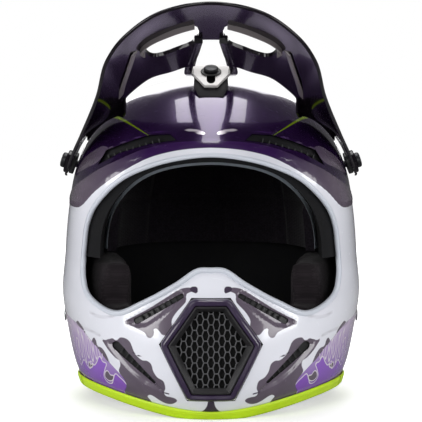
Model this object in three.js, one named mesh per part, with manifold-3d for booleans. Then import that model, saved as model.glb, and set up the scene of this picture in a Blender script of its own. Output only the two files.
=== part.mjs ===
// Motocross helmet: painted shell, tilting visor, framed chin vent, foam liner on a slip layer,
// cheek pads, and a chin strap with two D-rings. Millimetres, +Z up, the face looks along -Y.
// "Left" is the wearer's left, which is +X.
import * as THREE from 'three';
import { LoftGeometry } from 'three/addons/geometries/LoftGeometry.js';
import { mergeVertices } from 'three/addons/utils/BufferGeometryUtils.js';
import Module from 'manifold-3d';

const wasm = await Module();
wasm.setup();

// ---------------------------------------------------------------- driving dimensions

// Outer surface, as three lines from the rim to the crown: front and back as [y, z], side as [x, y, z].
const FRONT_LINE = [[-148, 3], [-160, 24], [-166, 54], [-160, 88], [-145, 117],
	[-127, 160], [-112, 201], [-86, 234], [-48, 259], [16, 268]];
const SIDE_LINE = [[109.5, -8, 16], [115, -6, 30], [121, -3, 56], [126, 0, 88], [124, 2, 118],
	[120.5, 5, 158], [113.5, 8, 194], [96, 11, 228], [60, 14, 256], [0, 16, 268]];
const BACK_LINE = [[112, 3], [127, 24], [138, 54], [148, 88], [155, 118],
	[159, 156], [154, 192], [136, 224], [92, 254], [16, 268]];
const CHIN_POWER = 1.78; // under 2 the ring comes to a blunt point, over 2 it squares off
const BROW_POWER = 2.25;
const BACK_POWER = 2.2;
const FINE = { around: 44, up: 15 };
const COARSE = { around: 30, up: 11 };

// How deep each layer lies under the outer surface, as [outer face, inner face].
const SHELL = [0, 4];
const FOAM = [5.6, 28.5];
const SLIP = [31.8, 33];
const COMFORT = [33.8, 42];
const CHIN_FOAM = [5.6, 22];
const NECK_ROLL = [6, 34];
const VENT_INSERT = [1, 4.2];
const CHEEK_DEPTH = 17.6;

// Eye port: its visible edge from the top centre down to the bottom centre, as [x, z].
const PORT_EDGE = [[0, 201.1], [22.5, 199], [46.9, 193], [71.8, 181.4], [92, 160.9], [98.2, 147.3],
	[100.5, 132.9], [101.8, 104], [97, 91], [76, 81.4], [53.6, 90.9], [27, 105.9], [11, 116.2], [0, 117]];
const BEAD_WIDTH = 3.6; // the rubber bead round the port
const PORT_CUT = 4; // how far outside the visible edge the shell is cut
const FOAM_LIP = 2.5; // how far the foam's edge stands outside the arch
const LINER_ARCH = [[0, 195], [40, 189.5], [62, 178], [78, 160], [85, 142], [86.5, 112], [80, 60], [0, 50]];

// Chin vent: a leaning hexagonal frame round a mesh.
const VENT_CORNERS = [[14.7, 94.1], [39.4, 58.6], [18.2, 15.3]];
const VENT_LEAN = 0.077;
const BEZEL = { front: -172, back: -150, ring: 5.2, proud: 5.5 };
const FUNNEL = { front: -172, back: -154.3, outer: 5.6, frontInner: 6.8, backInner: 10, proud: 3.5 };
const GRILLE = { front: -154, back: -151.6, margin: 5.8, hole: 5.6, wall: 1.4, border: 8.6 };
const FILTER = { front: -149.6, back: -146, margin: 4 };

// Slots and vents, as [x, z, width] at both ends, on the left side.
const CHIN_SLOTS = { upper: [[57.5, 75.2, 5], [22.5, 95.6, 3.6]], lower: [[74, 54, 7.5], [44, 28.5, 2.5]] };
const BROW_VENT = [[32.6, 219.7], [48.6, 219], [64.9, 214.2], [84.9, 206.8], [92, 194.5],
	[73.2, 204.5], [48.5, 211.8], [27, 214.6]];
const REAR_VENT = [[34, 158, 13], [58, 180, 9]];
const REAR_LOW_VENT = [[-26, 67.5, 12], [26, 67.5, 12]];

// Visor: free edge from the tip to the arm, and rear edge from the centre to the arm.
const VISOR_TIP = [[0, -240, 314], [36.7, -232, 307.7], [63.6, -212, 291.4], [78, -190, 274.7],
	[88.7, -140, 249], [105, -75, 221], [117, -30, 201.5], [124, -5, 186]];
const VISOR_REAR = [[0, -91, 276.3], [19, -91, 275.7], [33.6, -88, 270.8], [53.3, -80, 263.3],
	[69.6, -65, 252], [74.6, -55, 244.7], [84, -45, 236], [102.5, -30, 222.5], [110.5, -20, 212.5], [115, -12, 204.5]];
const VISOR_THICK = 2.8;
const VISOR_BULGE = 3;
const VISOR_WINDOW = [[13, -188], [50, -166], [51, -158], [46, -133], [41, -129], [15, -141]];
const VISOR_NOTCH = [[-6.5, -151], [6.5, -151], [14, -80], [-14, -80]];
const STRUT = [[9.5, -156, 291.5], [13, -120, 283.6], [17, -90, 276.5], [18.5, -66, 271.6], [17.5, -44, 270.6]];
const STRUT_SECTION = [6.5, 6.4];

// The visor tilts about a line through its two side screws.
const PIVOT = { y: -5, z: 194.5, x: 113.5, lean: 18 };
const SIDE_SCREW = { shaft: 3, head: 6.5, headHeight: 4, boss: 10, bossFrom: 5.3, bossTo: 9.3, end: -10 };
const SPACER = { inner: 4, outer: 9.4, from: 0.8, to: 4.6 };
const TONGUE = { inner: 83.5, outer: 86, from: 106, to: 131, halfWidth: 18, slotFrom: 110.5, slotTo: 128.5, slotHalf: 3.5 };
const KNOB = { angle: 118, seat: 86.3, washer: 1, head: 6, height: 3, shaft: 2.5, end: 73 };

// Chin strap: the webbing's path from the rivet to the D-rings, as [x, z].
const STRAP = { thick: 1.6, back: 15, front: -5 };
const RIVET = { y: 5, z: 66, shaft: 3, head: 6 };
const STRAP_RING_PATH = [[-114.4, 73], [-112, 50], [-104, 30], [-94, 19], [-78, 13], [-50, 11.4], [-30, 10.8], [-17.4, 10.8]];
const STRAP_TAIL_PATH = [[114.4, 73], [112, 50], [104, 30], [94, 21.6], [78, 18.4], [50, 17.4], [22, 17.2], [8, 17.2],
	[2.6, 16.2], [-0.4, 13.6], [-0.8, 10.8], [-0.4, 8], [2.6, 5.4], [8, 4.4], [22, 5], [34, 9.4], [46, 12.4], [58, 12.8]];
const RING = { bar: 1.3, left: -14, right: 8, halfWidth: 13.8, lower: 9, upper: 12.6 };

// Rubber trim on the rim: its section as [outward, up the shell] from the rim's outer edge.
const TRIM_SECTION = [[2.6, -4.4], [2.6, 3.6], [1.9, 4.4], [0.5, 4.4], [0.5, -0.5], [-4.6, -0.5],
	[-4.6, 5.2], [-6.4, 5.2], [-6.4, -4.4]];
const TRIM_SPLIT = 72; // degrees from the front where the chin trim ends and the neck trim begins
const TRIM_GAP = 1.6;

const CENTRE_SHIFT = 40.75; // puts the origin under the middle of the overall box

// ---------------------------------------------------------------- small tools

const DEGREE = Math.PI / 180;
const TURN = Math.PI * 2;
const LATHE_AXIS = new THREE.Vector3(0, 1, 0);
const point = (x, y, z) => new THREE.Vector3(x, y, z);
const smoothstep = THREE.MathUtils.smoothstep;
const lerp = THREE.MathUtils.lerp;

// A closed geometry as a solid that faces outwards.
function solidOf(geometry) {
	const bare = new THREE.BufferGeometry();
	bare.setAttribute('position', geometry.attributes.position);
	bare.setIndex(geometry.index);
	const merged = mergeVertices(bare, 1e-3);
	const corners = merged.index.array;
	const faces = [];
	for (let i = 0; i < corners.length; i += 3) {
		const [a, b, c] = [corners[i], corners[i + 1], corners[i + 2]];
		if (a !== b && b !== c && c !== a) faces.push([a, b, c]);
	}
	const build = (list) => new wasm.Manifold(new wasm.Mesh({
		numProp: 3,
		vertProperties: merged.attributes.position.array,
		triVerts: new Uint32Array(list.flat()),
	}));
	const made = build(faces);
	return made.volume() < 0 ? build(faces.map(([a, b, c]) => [a, c, b])) : made;
}

function geometryOf(solid) {
	const mesh = solid.getMesh();
	const geometry = new THREE.BufferGeometry();
	geometry.setAttribute('position', new THREE.BufferAttribute(mesh.vertProperties, 3));
	geometry.setIndex(new THREE.BufferAttribute(mesh.triVerts, 1));
	geometry.computeVertexNormals();
	return geometry;
}

const joined = (first, ...rest) => rest.reduce((sum, next) => sum.add(next), first);
const cut = (first, ...rest) => rest.reduce((left, next) => left.subtract(next), first);
const mirrored = (geometry) => new THREE.BufferGeometry().copy(geometry).scale(-1, 1, 1);
const bothSides = (geometry) => [solidOf(geometry), solidOf(mirrored(geometry))];

function box(x0, x1, y0, y1, z0, z1) {
	return new THREE.BoxGeometry(x1 - x0, y1 - y0, z1 - z0)
		.translate((x0 + x1) / 2, (y0 + y1) / 2, (z0 + z1) / 2);
}

const outline = (points) => new THREE.Shape(points.map(([a, b]) => new THREE.Vector2(a, b)));

function extruded(shape, depth) {
	return new THREE.ExtrudeGeometry(shape, { depth, bevelEnabled: false, curveSegments: 6 });
}

// A shape drawn on the front elevation (x, z), cut through from y0 to y1.
function frontPrism(shape, y0, y1) {
	return extruded(shape, y1 - y0).rotateX(Math.PI / 2).translate(0, y1, 0);
}

// A shape drawn in plan (x, y), standing from z0 to z1.
function planPrism(shape, z0, z1) {
	return extruded(shape, z1 - z0).translate(0, 0, z0);
}

// A shape drawn on the side elevation (y, z), centred on x = 0.
function sidePrism(shape, halfWidth) {
	const turn = new THREE.Matrix4().makeBasis(point(0, 1, 0), point(0, 0, 1), point(1, 0, 0));
	return extruded(shape, 2 * halfWidth).translate(0, 0, -halfWidth).applyMatrix4(turn);
}

// A tapering slot with round ends.
function slot([[x1, z1, w1], [x2, z2, w2]], spread = 0) {
	const heading = Math.atan2(z2 - z1, x2 - x1);
	const shape = new THREE.Shape();
	shape.absarc(x2, z2, w2 / 2 + spread, heading - Math.PI / 2, heading + Math.PI / 2);
	shape.absarc(x1, z1, w1 / 2 + spread, heading + Math.PI / 2, heading + Math.PI * 1.5);
	return shape;
}

// A closed outline moved outwards by a distance. Its points run clockwise seen from the front.
function spreadOutline(points, distance) {
	return points.map(([x, z], i) => {
		const [x0, z0] = points[(i + points.length - 1) % points.length];
		const [x1, z1] = points[(i + 1) % points.length];
		const a = new THREE.Vector2(x - x0, z - z0).normalize();
		const b = new THREE.Vector2(x1 - x, z1 - z).normalize();
		const corner = a.clone().add(b).normalize();
		const reach = distance / Math.max(0.5, corner.dot(a));
		return [x - corner.y * reach, z + corner.x * reach];
	});
}

// Half an outline, from its top to its bottom, made whole by its mirror image.
const wholeOutline = (half) => [...half, ...half.filter(([x]) => x > 0).reverse().map(([x, z]) => [-x, z])];

function smoothOutline(half, count) {
	const corners = wholeOutline(half).map(([x, z]) => point(x, 0, z));
	const curve = new THREE.CatmullRomCurve3(corners, true, 'centripetal');
	return curve.getSpacedPoints(count).slice(0, -1).map((p) => [p.x, p.z]);
}

// A solid skinned through sections with flat ends, whichever way round their points run.
function skinned(sections) {
	const [first, second] = sections;
	const normal = point(0, 0, 0);
	const heading = point(0, 0, 0);
	first.forEach((p, i) => {
		normal.add(p.clone().cross(first[(i + 1) % first.length]));
		heading.add(second[i]).sub(p);
	});
	const wound = normal.dot(heading) > 0 ? sections : sections.map((ring) => ring.slice().reverse());
	return new LoftGeometry(wound, { capStart: true, capEnd: true });
}

// A turned piece: a profile of [radius, height] about an axis through an origin.
function turned(profile, origin, axis, segments = 14) {
	const turn = new THREE.Quaternion().setFromUnitVectors(LATHE_AXIS, axis);
	return new THREE.LatheGeometry(profile.map(([r, h]) => new THREE.Vector2(r, h)), segments)
		.applyQuaternion(turn)
		.translate(origin.x, origin.y, origin.z);
}

const rodProfile = (radius, h0, h1) => [[0, h0], [radius, h0], [radius, h1], [0, h1]];
const ringProfile = (inner, outer, h0, h1) => [[inner, h0], [outer, h0], [outer, h1], [inner, h1], [inner, h0]];

// Flat webbing that runs along a path drawn in (x, z).
function webbing(path, y0, y1, thick, steps) {
	const curve = new THREE.CatmullRomCurve3(path.map(([x, z]) => point(x, 0, z)), false, 'centripetal');
	const over = [];
	const under = [];
	for (let i = 0; i <= steps; i++) {
		const p = curve.getPointAt(i / steps);
		const t = curve.getTangentAt(i / steps);
		over.push([p.x - t.z * thick / 2, p.z + t.x * thick / 2]);
		under.push([p.x + t.z * thick / 2, p.z - t.x * thick / 2]);
	}
	return frontPrism(outline([...over, ...under.reverse()]), y0, y1);
}

// ---------------------------------------------------------------- the shell's surface

const ridge = new THREE.CatmullRomCurve3(
	[...FRONT_LINE, ...BACK_LINE.slice(0, -1).reverse()].map(([y, z]) => point(0, y, z)));
const arch = new THREE.CatmullRomCurve3(
	[...SIDE_LINE, ...SIDE_LINE.slice(0, -1).reverse().map(([x, y, z]) => [-x, y, z])].map((p) => point(...p)));

function onRidge(t, depth) {
	const tangent = ridge.getTangent(t);
	return ridge.getPoint(t).addScaledVector(point(0, tangent.z, -tangent.y), depth);
}

function onArch(t, depth) {
	const tangent = arch.getTangent(t);
	return arch.getPoint(t).addScaledVector(point(-tangent.z, 0, tangent.x).normalize(), depth);
}

// A point on the surface that lies a depth under the outside. Angle 0 is the front and a quarter turn
// is the left side; level 0 is the rim and level 1 is the crown.
function shellPoint(angle, level, depth = 0) {
	if (level === 1) return onArch(0.5, depth).setX(0);
	const ahead = Math.cos(angle) > 0;
	const middle = onRidge(ahead ? level / 2 : 1 - level / 2, depth);
	const side = onArch(level / 2, depth);
	const power = ahead ? lerp(CHIN_POWER, BROW_POWER, smoothstep(level, 0.4, 0.65)) : BACK_POWER;
	const along = Math.abs(Math.cos(angle)) ** (2 / power);
	const across = Math.sign(Math.sin(angle)) * Math.abs(Math.sin(angle)) ** (2 / power);
	return point(
		side.x * across,
		side.y + (middle.y - side.y) * along,
		side.z + (middle.z - side.z) * Math.cos(angle) ** (ahead ? 4 : 2),
	);
}

const levelsOf = (count) => Array.from({ length: count + 1 }, (_, i) => 1 - (1 - i / count) ** 1.3);

function shellRing(level, depth, around) {
	return Array.from({ length: around }, (_, i) => shellPoint(i / around * TURN, level, depth));
}

// The wall between two depths, open at the bottom.
function layer([outer, inner], { around, up } = COARSE) {
	const levels = levelsOf(up);
	const sections = [
		...levels.map((level) => shellRing(level, outer, around)),
		...levels.slice().reverse().map((level) => shellRing(level, inner, around)),
	];
	return solidOf(new LoftGeometry([...sections, sections[0]]));
}

// Everything inside one depth, filled down past the rim.
function filled(depth, { around, up } = COARSE) {
	const base = shellRing(0, depth, around).map((p) => p.setZ(-40));
	const middle = base.map(() => point(0, 0, -40));
	return solidOf(new LoftGeometry([middle, base, ...levelsOf(up).map((level) => shellRing(level, depth, around))]));
}

const probeMesh = (depth) => new THREE.Mesh(
	new LoftGeometry(levelsOf(60).map((level) => shellRing(level, depth, 160))),
	new THREE.MeshBasicMaterial({ side: THREE.DoubleSide }));
const probes = new Map(SHELL.map((depth) => [depth, probeMesh(depth)]));

// Where the front of a shell face stands at a place on the front elevation.
function frontFace(x, z, depth) {
	const ray = new THREE.Raycaster(point(x, -300, z), point(0, 1, 0));
	return ray.intersectObject(probes.get(depth))[0].point.y;
}

// ---------------------------------------------------------------- finishes

const paint = (color, roughness = 0.18) => new THREE.MeshStandardMaterial({ color, roughness, metalness: 0 });
const metal = (color, roughness) => new THREE.MeshStandardMaterial({ color, roughness, metalness: 1 });
const FINISH = {
	shell: () => paint('#e9eaf2'),
	visor: () => paint('#1c0e2b'),
	frame: () => paint('#2a1740', 0.25),
	lime: () => paint('#a9e01c', 0.5),
	gasket: () => paint('#dcdee8', 0.5),
	black: () => paint('#141416', 0.6),
	dark: () => paint('#36363a', 0.6),
	foam: () => paint('#1a1a1c', 0.95),
	cloth: () => paint('#1b1a1c', 0.95),
	slip: () => paint('#6e7c88', 0.4),
	webbing: () => paint('#18181a', 0.9),
	steel: () => metal('#b9bcc2', 0.3),
	bolt: () => metal('#17171a', 0.45),
};

const helmet = new THREE.Group();
helmet.name = 'motocross_helmet';
helmet.position.y = CENTRE_SHIFT;

function add(name, solid, finish) {
	const mesh = new THREE.Mesh(geometryOf(solid), FINISH[finish]());
	mesh.name = name;
	helmet.add(mesh);
	return mesh;
}

// The same piece on the wearer's left and, mirrored, on the right.
function addPair(name, solid, finish) {
	add(name + '_left', solid, finish);
	add(name + '_right', solid, finish).scale.x = -1;
}

// ---------------------------------------------------------------- shared cutters

const portOutline = smoothOutline(PORT_EDGE, 48);
const portPrism = (spread, y1) => solidOf(frontPrism(outline(spreadOutline(portOutline, spread)), -260, y1));
const archPrism = (spread) => solidOf(frontPrism(outline(spreadOutline(smoothOutline(LINER_ARCH, 32), spread)), -260, -18));
const linerArch = archPrism(0);
const ventOutline = (margin) => outline(spreadOutline(wholeOutline(VENT_CORNERS), -margin));

// The chin vent leans back at the top.
const leaned = (geometry) => geometry.applyMatrix4(new THREE.Matrix4().set(
	1, 0, 0, 0,
	0, 1, VENT_LEAN, -60 * VENT_LEAN,
	0, 0, 1, 0,
	0, 0, 0, 1));
const ventPrism = (margin, y0, y1) => solidOf(leaned(frontPrism(ventOutline(margin), y0, y1)));

const screwAxis = point(Math.cos(PIVOT.lean * DEGREE), 0, Math.sin(PIVOT.lean * DEGREE));
const screwSeat = point(PIVOT.x, PIVOT.y, PIVOT.z);
const onScrew = (profile, segments) => turned(profile, screwSeat, screwAxis, segments);

const pivotCentre = point(0, PIVOT.y, PIVOT.z);
const knobAxis = point(0, Math.cos(KNOB.angle * DEGREE), Math.sin(KNOB.angle * DEGREE));
const onKnob = (profile, segments) => turned(profile, pivotCentre, knobAxis, segments);

const onRivet = (profile) => turned(profile, point(0, RIVET.y, RIVET.z), point(1, 0, 0), 14);

// A piece of a ring about the visor's pivot line, from one angle to another (degrees above +Y).
function arcPlate(inner, outer, from, to, halfWidth) {
	const shape = new THREE.Shape();
	shape.absarc(PIVOT.y, PIVOT.z, outer, from * DEGREE, to * DEGREE);
	shape.absarc(PIVOT.y, PIVOT.z, inner, to * DEGREE, from * DEGREE, true);
	return solidOf(sidePrism(shape, halfWidth));
}

// ---------------------------------------------------------------- shell and what is bonded to it

function makeShell() {
	const chinSlots = Object.values(CHIN_SLOTS).flatMap((ends) => bothSides(frontPrism(slot(ends), -260, -60)));
	const screwHoles = bothSides(onScrew(rodProfile(4.2, -20, 20)));
	const rivetHoles = bothSides(onRivet(rodProfile(3.4, 90, 140)));
	const shell = cut(
		layer(SHELL, FINE),
		portPrism(PORT_CUT, -14),
		ventPrism(-0.5, -200, -120),
		...chinSlots,
		...bothSides(frontPrism(outline(BROW_VENT), -260, -14)),
		...bothSides(frontPrism(slot(REAR_VENT), 60, 260)),
		solidOf(frontPrism(slot(REAR_LOW_VENT), 60, 260)),
		...screwHoles,
		...rivetHoles,
		solidOf(onKnob(rodProfile(3.4, 60, 90))),
	);
	add('outer_shell', shell, 'shell');
}

// An oval bead that follows the port's edge and covers the cut through the shell.
function makePortBead() {
	const turns = 6;
	const middle = spreadOutline(portOutline, BEAD_WIDTH / 2);
	const sections = middle.map(([x, z], i) => {
		const [xo, zo] = spreadOutline(portOutline, BEAD_WIDTH)[i];
		const outward = point(xo - x, 0, zo - z).normalize();
		const front = frontFace(x, z, SHELL[0]) - 1.2;
		const back = Math.min(frontFace(x, z, SHELL[1]) + 0.8, front + 16);
		return Array.from({ length: turns }, (_, k) => {
			const angle = k / turns * TURN;
			const y = lerp(front, back, 0.5 - 0.5 * Math.sin(angle));
			return point(x, y, z).addScaledVector(outward, Math.cos(angle) * BEAD_WIDTH / 2);
		});
	});
	add('eyeport_gasket', solidOf(new LoftGeometry([...sections, sections[0]])), 'gasket');
}

// Rubber channel pressed over the shell's rim, from one angle to another.
function rimTrim(from, to, steps) {
	const sections = Array.from({ length: steps + 1 }, (_, i) => {
		const angle = lerp(from, to, i / steps) * DEGREE;
		const here = shellPoint(angle, 0);
		const up = shellPoint(angle, 0.03).sub(here).normalize();
		const along = shellPoint(angle + 0.01, 0).sub(shellPoint(angle - 0.01, 0)).normalize();
		const outward = along.clone().cross(up).normalize();
		if (outward.dot(point(here.x, here.y, 0)) < 0) outward.negate();
		return TRIM_SECTION.map(([out, rise]) => here.clone().addScaledVector(outward, out).addScaledVector(up, rise));
	});
	const channel = solidOf(skinned(sections));
	return cut(channel, solidOf(box(-200, 200, -300, 300, -50, 0)));
}

function makeTrims() {
	add('chin_rim_trim', rimTrim(-TRIM_SPLIT, TRIM_SPLIT, 26), 'lime');
	add('neck_rim_trim', rimTrim(TRIM_SPLIT + TRIM_GAP, 360 - TRIM_SPLIT - TRIM_GAP, 32), 'lime');
}

function makeVentInserts() {
	const skin = layer(VENT_INSERT, FINE);
	const inFront = (shape) => skin.intersect(solidOf(frontPrism(shape, -260, -20)));
	const behind = (shape) => skin.intersect(solidOf(frontPrism(shape, 60, 260)));
	addPair('chin_vent_upper', inFront(slot(CHIN_SLOTS.upper, -0.4)), 'black');
	addPair('chin_vent_lower', inFront(slot(CHIN_SLOTS.lower, -0.4)), 'black');
	addPair('brow_vent', inFront(outline(spreadOutline(BROW_VENT, -0.5))), 'black');
	addPair('rear_vent', behind(slot(REAR_VENT, -0.4)), 'black');
	add('rear_vent_center', behind(slot(REAR_LOW_VENT, -0.4)), 'black');
}

// ---------------------------------------------------------------- chin vent

function makeChinVent() {
	const bezel = cut(
		ventPrism(0, BEZEL.front - 8, BEZEL.back).intersect(filled(-BEZEL.proud, FINE)),
		ventPrism(BEZEL.ring, BEZEL.front - 12, BEZEL.back + 5));
	add('mouth_vent_bezel', bezel, 'frame');

	const corners = (margin, y) => spreadOutline(wholeOutline(VENT_CORNERS), -margin).map(([x, z]) => point(x, y, z));
	const throat = skinned([
		corners(FUNNEL.frontInner, FUNNEL.front - 0.5),
		corners(FUNNEL.backInner, FUNNEL.back + 0.5),
	]);
	const funnel = ventPrism(FUNNEL.outer, FUNNEL.front, FUNNEL.back).intersect(filled(-FUNNEL.proud, FINE));
	add('mouth_vent_funnel', cut(funnel, solidOf(leaned(throat))), 'dark');

	add('mouth_vent_grille', makeGrille(), 'dark');
	add('mouth_vent_filter', ventPrism(FILTER.margin, FILTER.front, FILTER.back), 'foam');
}

// A plate with rows of tall six-sided holes.
function makeGrille() {
	const plate = ventOutline(GRILLE.margin);
	const limit = spreadOutline(wholeOutline(VENT_CORNERS), -GRILLE.border);
	const inside = ([x, z]) => limit.every(([x0, z0], i) => {
		const [x1, z1] = limit[(i + 1) % limit.length];
		return (x1 - x0) * (z - z0) - (z1 - z0) * (x - x0) < 0;
	});
	const stepX = GRILLE.hole + GRILLE.wall;
	const stepZ = stepX * 1.25;
	for (let column = -5; column <= 5; column++) {
		for (let row = 0; row < 11; row++) {
			const x = column * stepX;
			const z = 18 + (row + (column % 2 ? 0.5 : 0)) * stepZ;
			const hole = Array.from({ length: 6 }, (_, k) => [
				x + Math.cos(k * TURN / 6) * GRILLE.hole / 1.8,
				z + Math.sin(k * TURN / 6) * GRILLE.hole / 1.45,
			]);
			if (hole.every(inside)) plate.holes.push(new THREE.Path(hole.map(([a, b]) => new THREE.Vector2(a, b))));
		}
	}
	return solidOf(leaned(frontPrism(plate, GRILLE.front, GRILLE.back)));
}

// ---------------------------------------------------------------- foam, slip layer and pads

function makeLiners() {
	const belowFront = solidOf(box(-200, 200, -300, 60, -50, 120));
	const belowBack = solidOf(box(-200, 200, 60, 300, -50, 64));
	const screwPockets = bothSides(onScrew(rodProfile(11, -14, 4)));
	const foam = cut(layer(FOAM), belowFront, belowBack, archPrism(FOAM_LIP), ...screwPockets);
	add('impact_liner', foam, 'foam');

	const below = solidOf(box(-200, 200, -300, 300, -50, 121));
	add('slip_layer', cut(layer(SLIP), below, linerArch), 'slip');
	const comfort = cut(layer(COMFORT), solidOf(box(-200, 200, -300, 300, -50, 122)), linerArch);
	add('comfort_liner', comfort, 'cloth');

	const chinBox = solidOf(box(-80, 80, -300, -112, 23, 104));
	const chinFoam = cut(layer(CHIN_FOAM).intersect(chinBox), ventPrism(-1.5, -220, -100), portPrism(PORT_CUT + 0.6, -14));
	add('chin_bar_foam', chinFoam, 'foam');

	const neckBox = solidOf(box(-200, 200, 62, 300, 20, 60));
	add('neck_roll', layer(NECK_ROLL).intersect(neckBox), 'cloth');
}

function makeCheekPads() {
	const plan = outline([[60, -88], [70, -40], [71, 0], [79, 52], [200, 52], [200, -88]]);
	const pad = filled(CHEEK_DEPTH).intersect(solidOf(planPrism(plan, 26, 118)));
	addPair('cheek_pad', cut(pad, portPrism(0, -70)), 'cloth');
}

// ---------------------------------------------------------------- visor

const acrossEdge = (half) => new THREE.CatmullRomCurve3(
	[...half.slice(1).reverse().map(([x, y, z]) => [-x, y, z]), ...half].map((p) => point(...p)), false, 'centripetal');
const visorTip = acrossEdge(VISOR_TIP);
const visorRear = acrossEdge(VISOR_REAR);

// The visor's upper face: u runs from the right arm (0) to the left arm (1), v from the tip to the rear.
function visorPoint(u, v) {
	const bulge = VISOR_BULGE * 4 * v * (1 - v) * Math.sin(Math.PI * u);
	return visorTip.getPoint(u).lerp(visorRear.getPoint(u), v).add(point(0, 0, bulge));
}

function visorNormal(u, v) {
	const step = 0.002;
	const [u0, u1] = [Math.max(0, u - step), Math.min(1, u + step)];
	const [v0, v1] = [Math.max(0, v - step), Math.min(1, v + step)];
	const across = visorPoint(u1, v).sub(visorPoint(u0, v));
	const back = visorPoint(u, v1).sub(visorPoint(u, v0));
	return across.cross(back).normalize();
}

function visorSheet() {
	const across = 28;
	const along = 4;
	const sections = Array.from({ length: across + 1 }, (_, i) => {
		const u = i / across;
		const top = Array.from({ length: along + 1 }, (_, j) => visorPoint(u, j / along));
		const under = top.map((p, j) => p.clone().addScaledVector(visorNormal(u, j / along), -VISOR_THICK));
		return [...top, ...under.reverse()];
	});
	return solidOf(skinned(sections));
}

function visorStrut() {
	const path = new THREE.CatmullRomCurve3(STRUT.map((p) => point(...p)));
	const [w, h] = STRUT_SECTION;
	const sections = path.getPoints(8).map((p, i) => {
		const t = path.getTangent(i / 8);
		const side = t.clone().cross(point(0, 0, 1)).normalize();
		const up = side.clone().cross(t);
		return [[-w, -h], [w, -h], [w, h], [-w, h]].map(([a, b]) =>
			p.clone().addScaledVector(side, a / 2).addScaledVector(up, b / 2));
	});
	return skinned(sections);
}

function makeVisor() {
	const sheet = cut(
		visorSheet(),
		...bothSides(planPrism(outline(VISOR_WINDOW), 230, 340)),
		solidOf(planPrism(outline(VISOR_NOTCH), 230, 340)),
		...bothSides(onScrew(rodProfile(11.2, -6, SIDE_SCREW.bossFrom))),
		...bothSides(onScrew(rodProfile(SIDE_SCREW.head + 0.8, SIDE_SCREW.bossTo, 24))));
	const tongue = cut(
		arcPlate(TONGUE.inner, TONGUE.outer, TONGUE.from, TONGUE.to, TONGUE.halfWidth),
		arcPlate(TONGUE.inner - 2, TONGUE.outer + 2, TONGUE.slotFrom, TONGUE.slotTo, TONGUE.slotHalf));
	const bosses = bothSides(onScrew(rodProfile(SIDE_SCREW.boss, SIDE_SCREW.bossFrom, SIDE_SCREW.bossTo), 16));
	const whole = joined(sheet, ...bothSides(visorStrut()), tongue, ...bosses);
	const underTongue = arcPlate(60, TONGUE.inner, TONGUE.from - 4, TONGUE.to + 6, 30);
	add('visor', cut(whole, underTongue, ...bothSides(onScrew(rodProfile(3.4, 0, 30)))), 'visor');
}

// ---------------------------------------------------------------- visor fixings

function makeVisorFixings() {
	const { shaft, head, headHeight, bossTo, end } = SIDE_SCREW;
	const seat = bossTo + 0.3;
	const top = seat + headHeight;
	const screw = [[0, end], [shaft, end], [shaft, seat], [head, seat], [head, top - 1], [head - 1, top],
		[2.6, top], [2.6, top - 2], [0, top - 2]];
	addPair('visor_side_screw', solidOf(onScrew(screw)), 'bolt');
	addPair('visor_side_spacer', solidOf(onScrew(ringProfile(SPACER.inner, SPACER.outer, SPACER.from, SPACER.to))), 'black');
	addPair('visor_side_nut', solidOf(onScrew(ringProfile(4, 8, -10.6, -6))), 'steel');

	const hump = outline([[-78, 262], [-74, 272], [-60, 284], [-20, 284], [-20, 262], [-60, 240]]);
	const block = solidOf(sidePrism(hump, 14))
		.intersect(arcPlate(50, TONGUE.inner - 0.6, 111.5, 138, 20));
	const receiver = cut(block, filled(-0.35, FINE), solidOf(onKnob(rodProfile(2.9, 60, 95))));
	add('visor_center_receiver', receiver, 'black');

	const washerTop = KNOB.seat + KNOB.washer;
	add('visor_center_washer', solidOf(onKnob(ringProfile(2.9, 8.5, KNOB.seat, washerTop))), 'black');
	const under = washerTop + 0.3;
	const knobTop = under + KNOB.height;
	add('visor_center_knob', solidOf(onKnob([[0, KNOB.end], [KNOB.shaft, KNOB.end], [KNOB.shaft, under],
		[KNOB.head, under], [KNOB.head, knobTop - 1.2], [KNOB.head - 1.2, knobTop], [0, knobTop]])), 'black');
}

// ---------------------------------------------------------------- chin strap

function makeStraps() {
	const { thick, front, back } = STRAP;
	const loopOutline = outline([[-18.2, 8], [-16, 5.6], [-12, 5.6], [-9.8, 8], [-9.8, 13.6], [-12, 16], [-16, 16], [-18.2, 13.6]]);
	const loopHole = outline([[-16.6, 8.2], [-15.4, 7.2], [-12.6, 7.2], [-11.4, 8.2], [-11.4, 13.4], [-12.6, 14.4], [-15.4, 14.4], [-16.6, 13.4]]);
	const loop = cut(solidOf(frontPrism(loopOutline, front, back)), solidOf(frontPrism(loopHole, front - 1, back + 1)));
	const ringSide = joined(solidOf(webbing(STRAP_RING_PATH, front, back, thick, 20)), loop);
	const rivetHole = rodProfile(3.4, 90, 140);
	add('chin_strap_right', cut(ringSide, solidOf(mirrored(onRivet(rivetHole)))), 'webbing');
	const tailSide = solidOf(webbing(STRAP_TAIL_PATH, front, back, thick, 48));
	add('chin_strap_left', cut(tailSide, solidOf(onRivet(rivetHole))), 'webbing');

	const disc = rodProfile(5, 0, 1.6);
	add('strap_snap', solidOf(turned(disc, point(46, RIVET.y, 14), point(0, 0, 1), 16)), 'black');

	addPair('strap_rivet', solidOf(onRivet([[0, 110.6], [RIVET.head, 110.6], [RIVET.head, 112.2], [RIVET.shaft, 112.2],
		[RIVET.shaft, 123.9], [RIVET.head, 123.9], [RIVET.head - 1, 125.2], [0, 125.2]])), 'steel');
}

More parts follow.
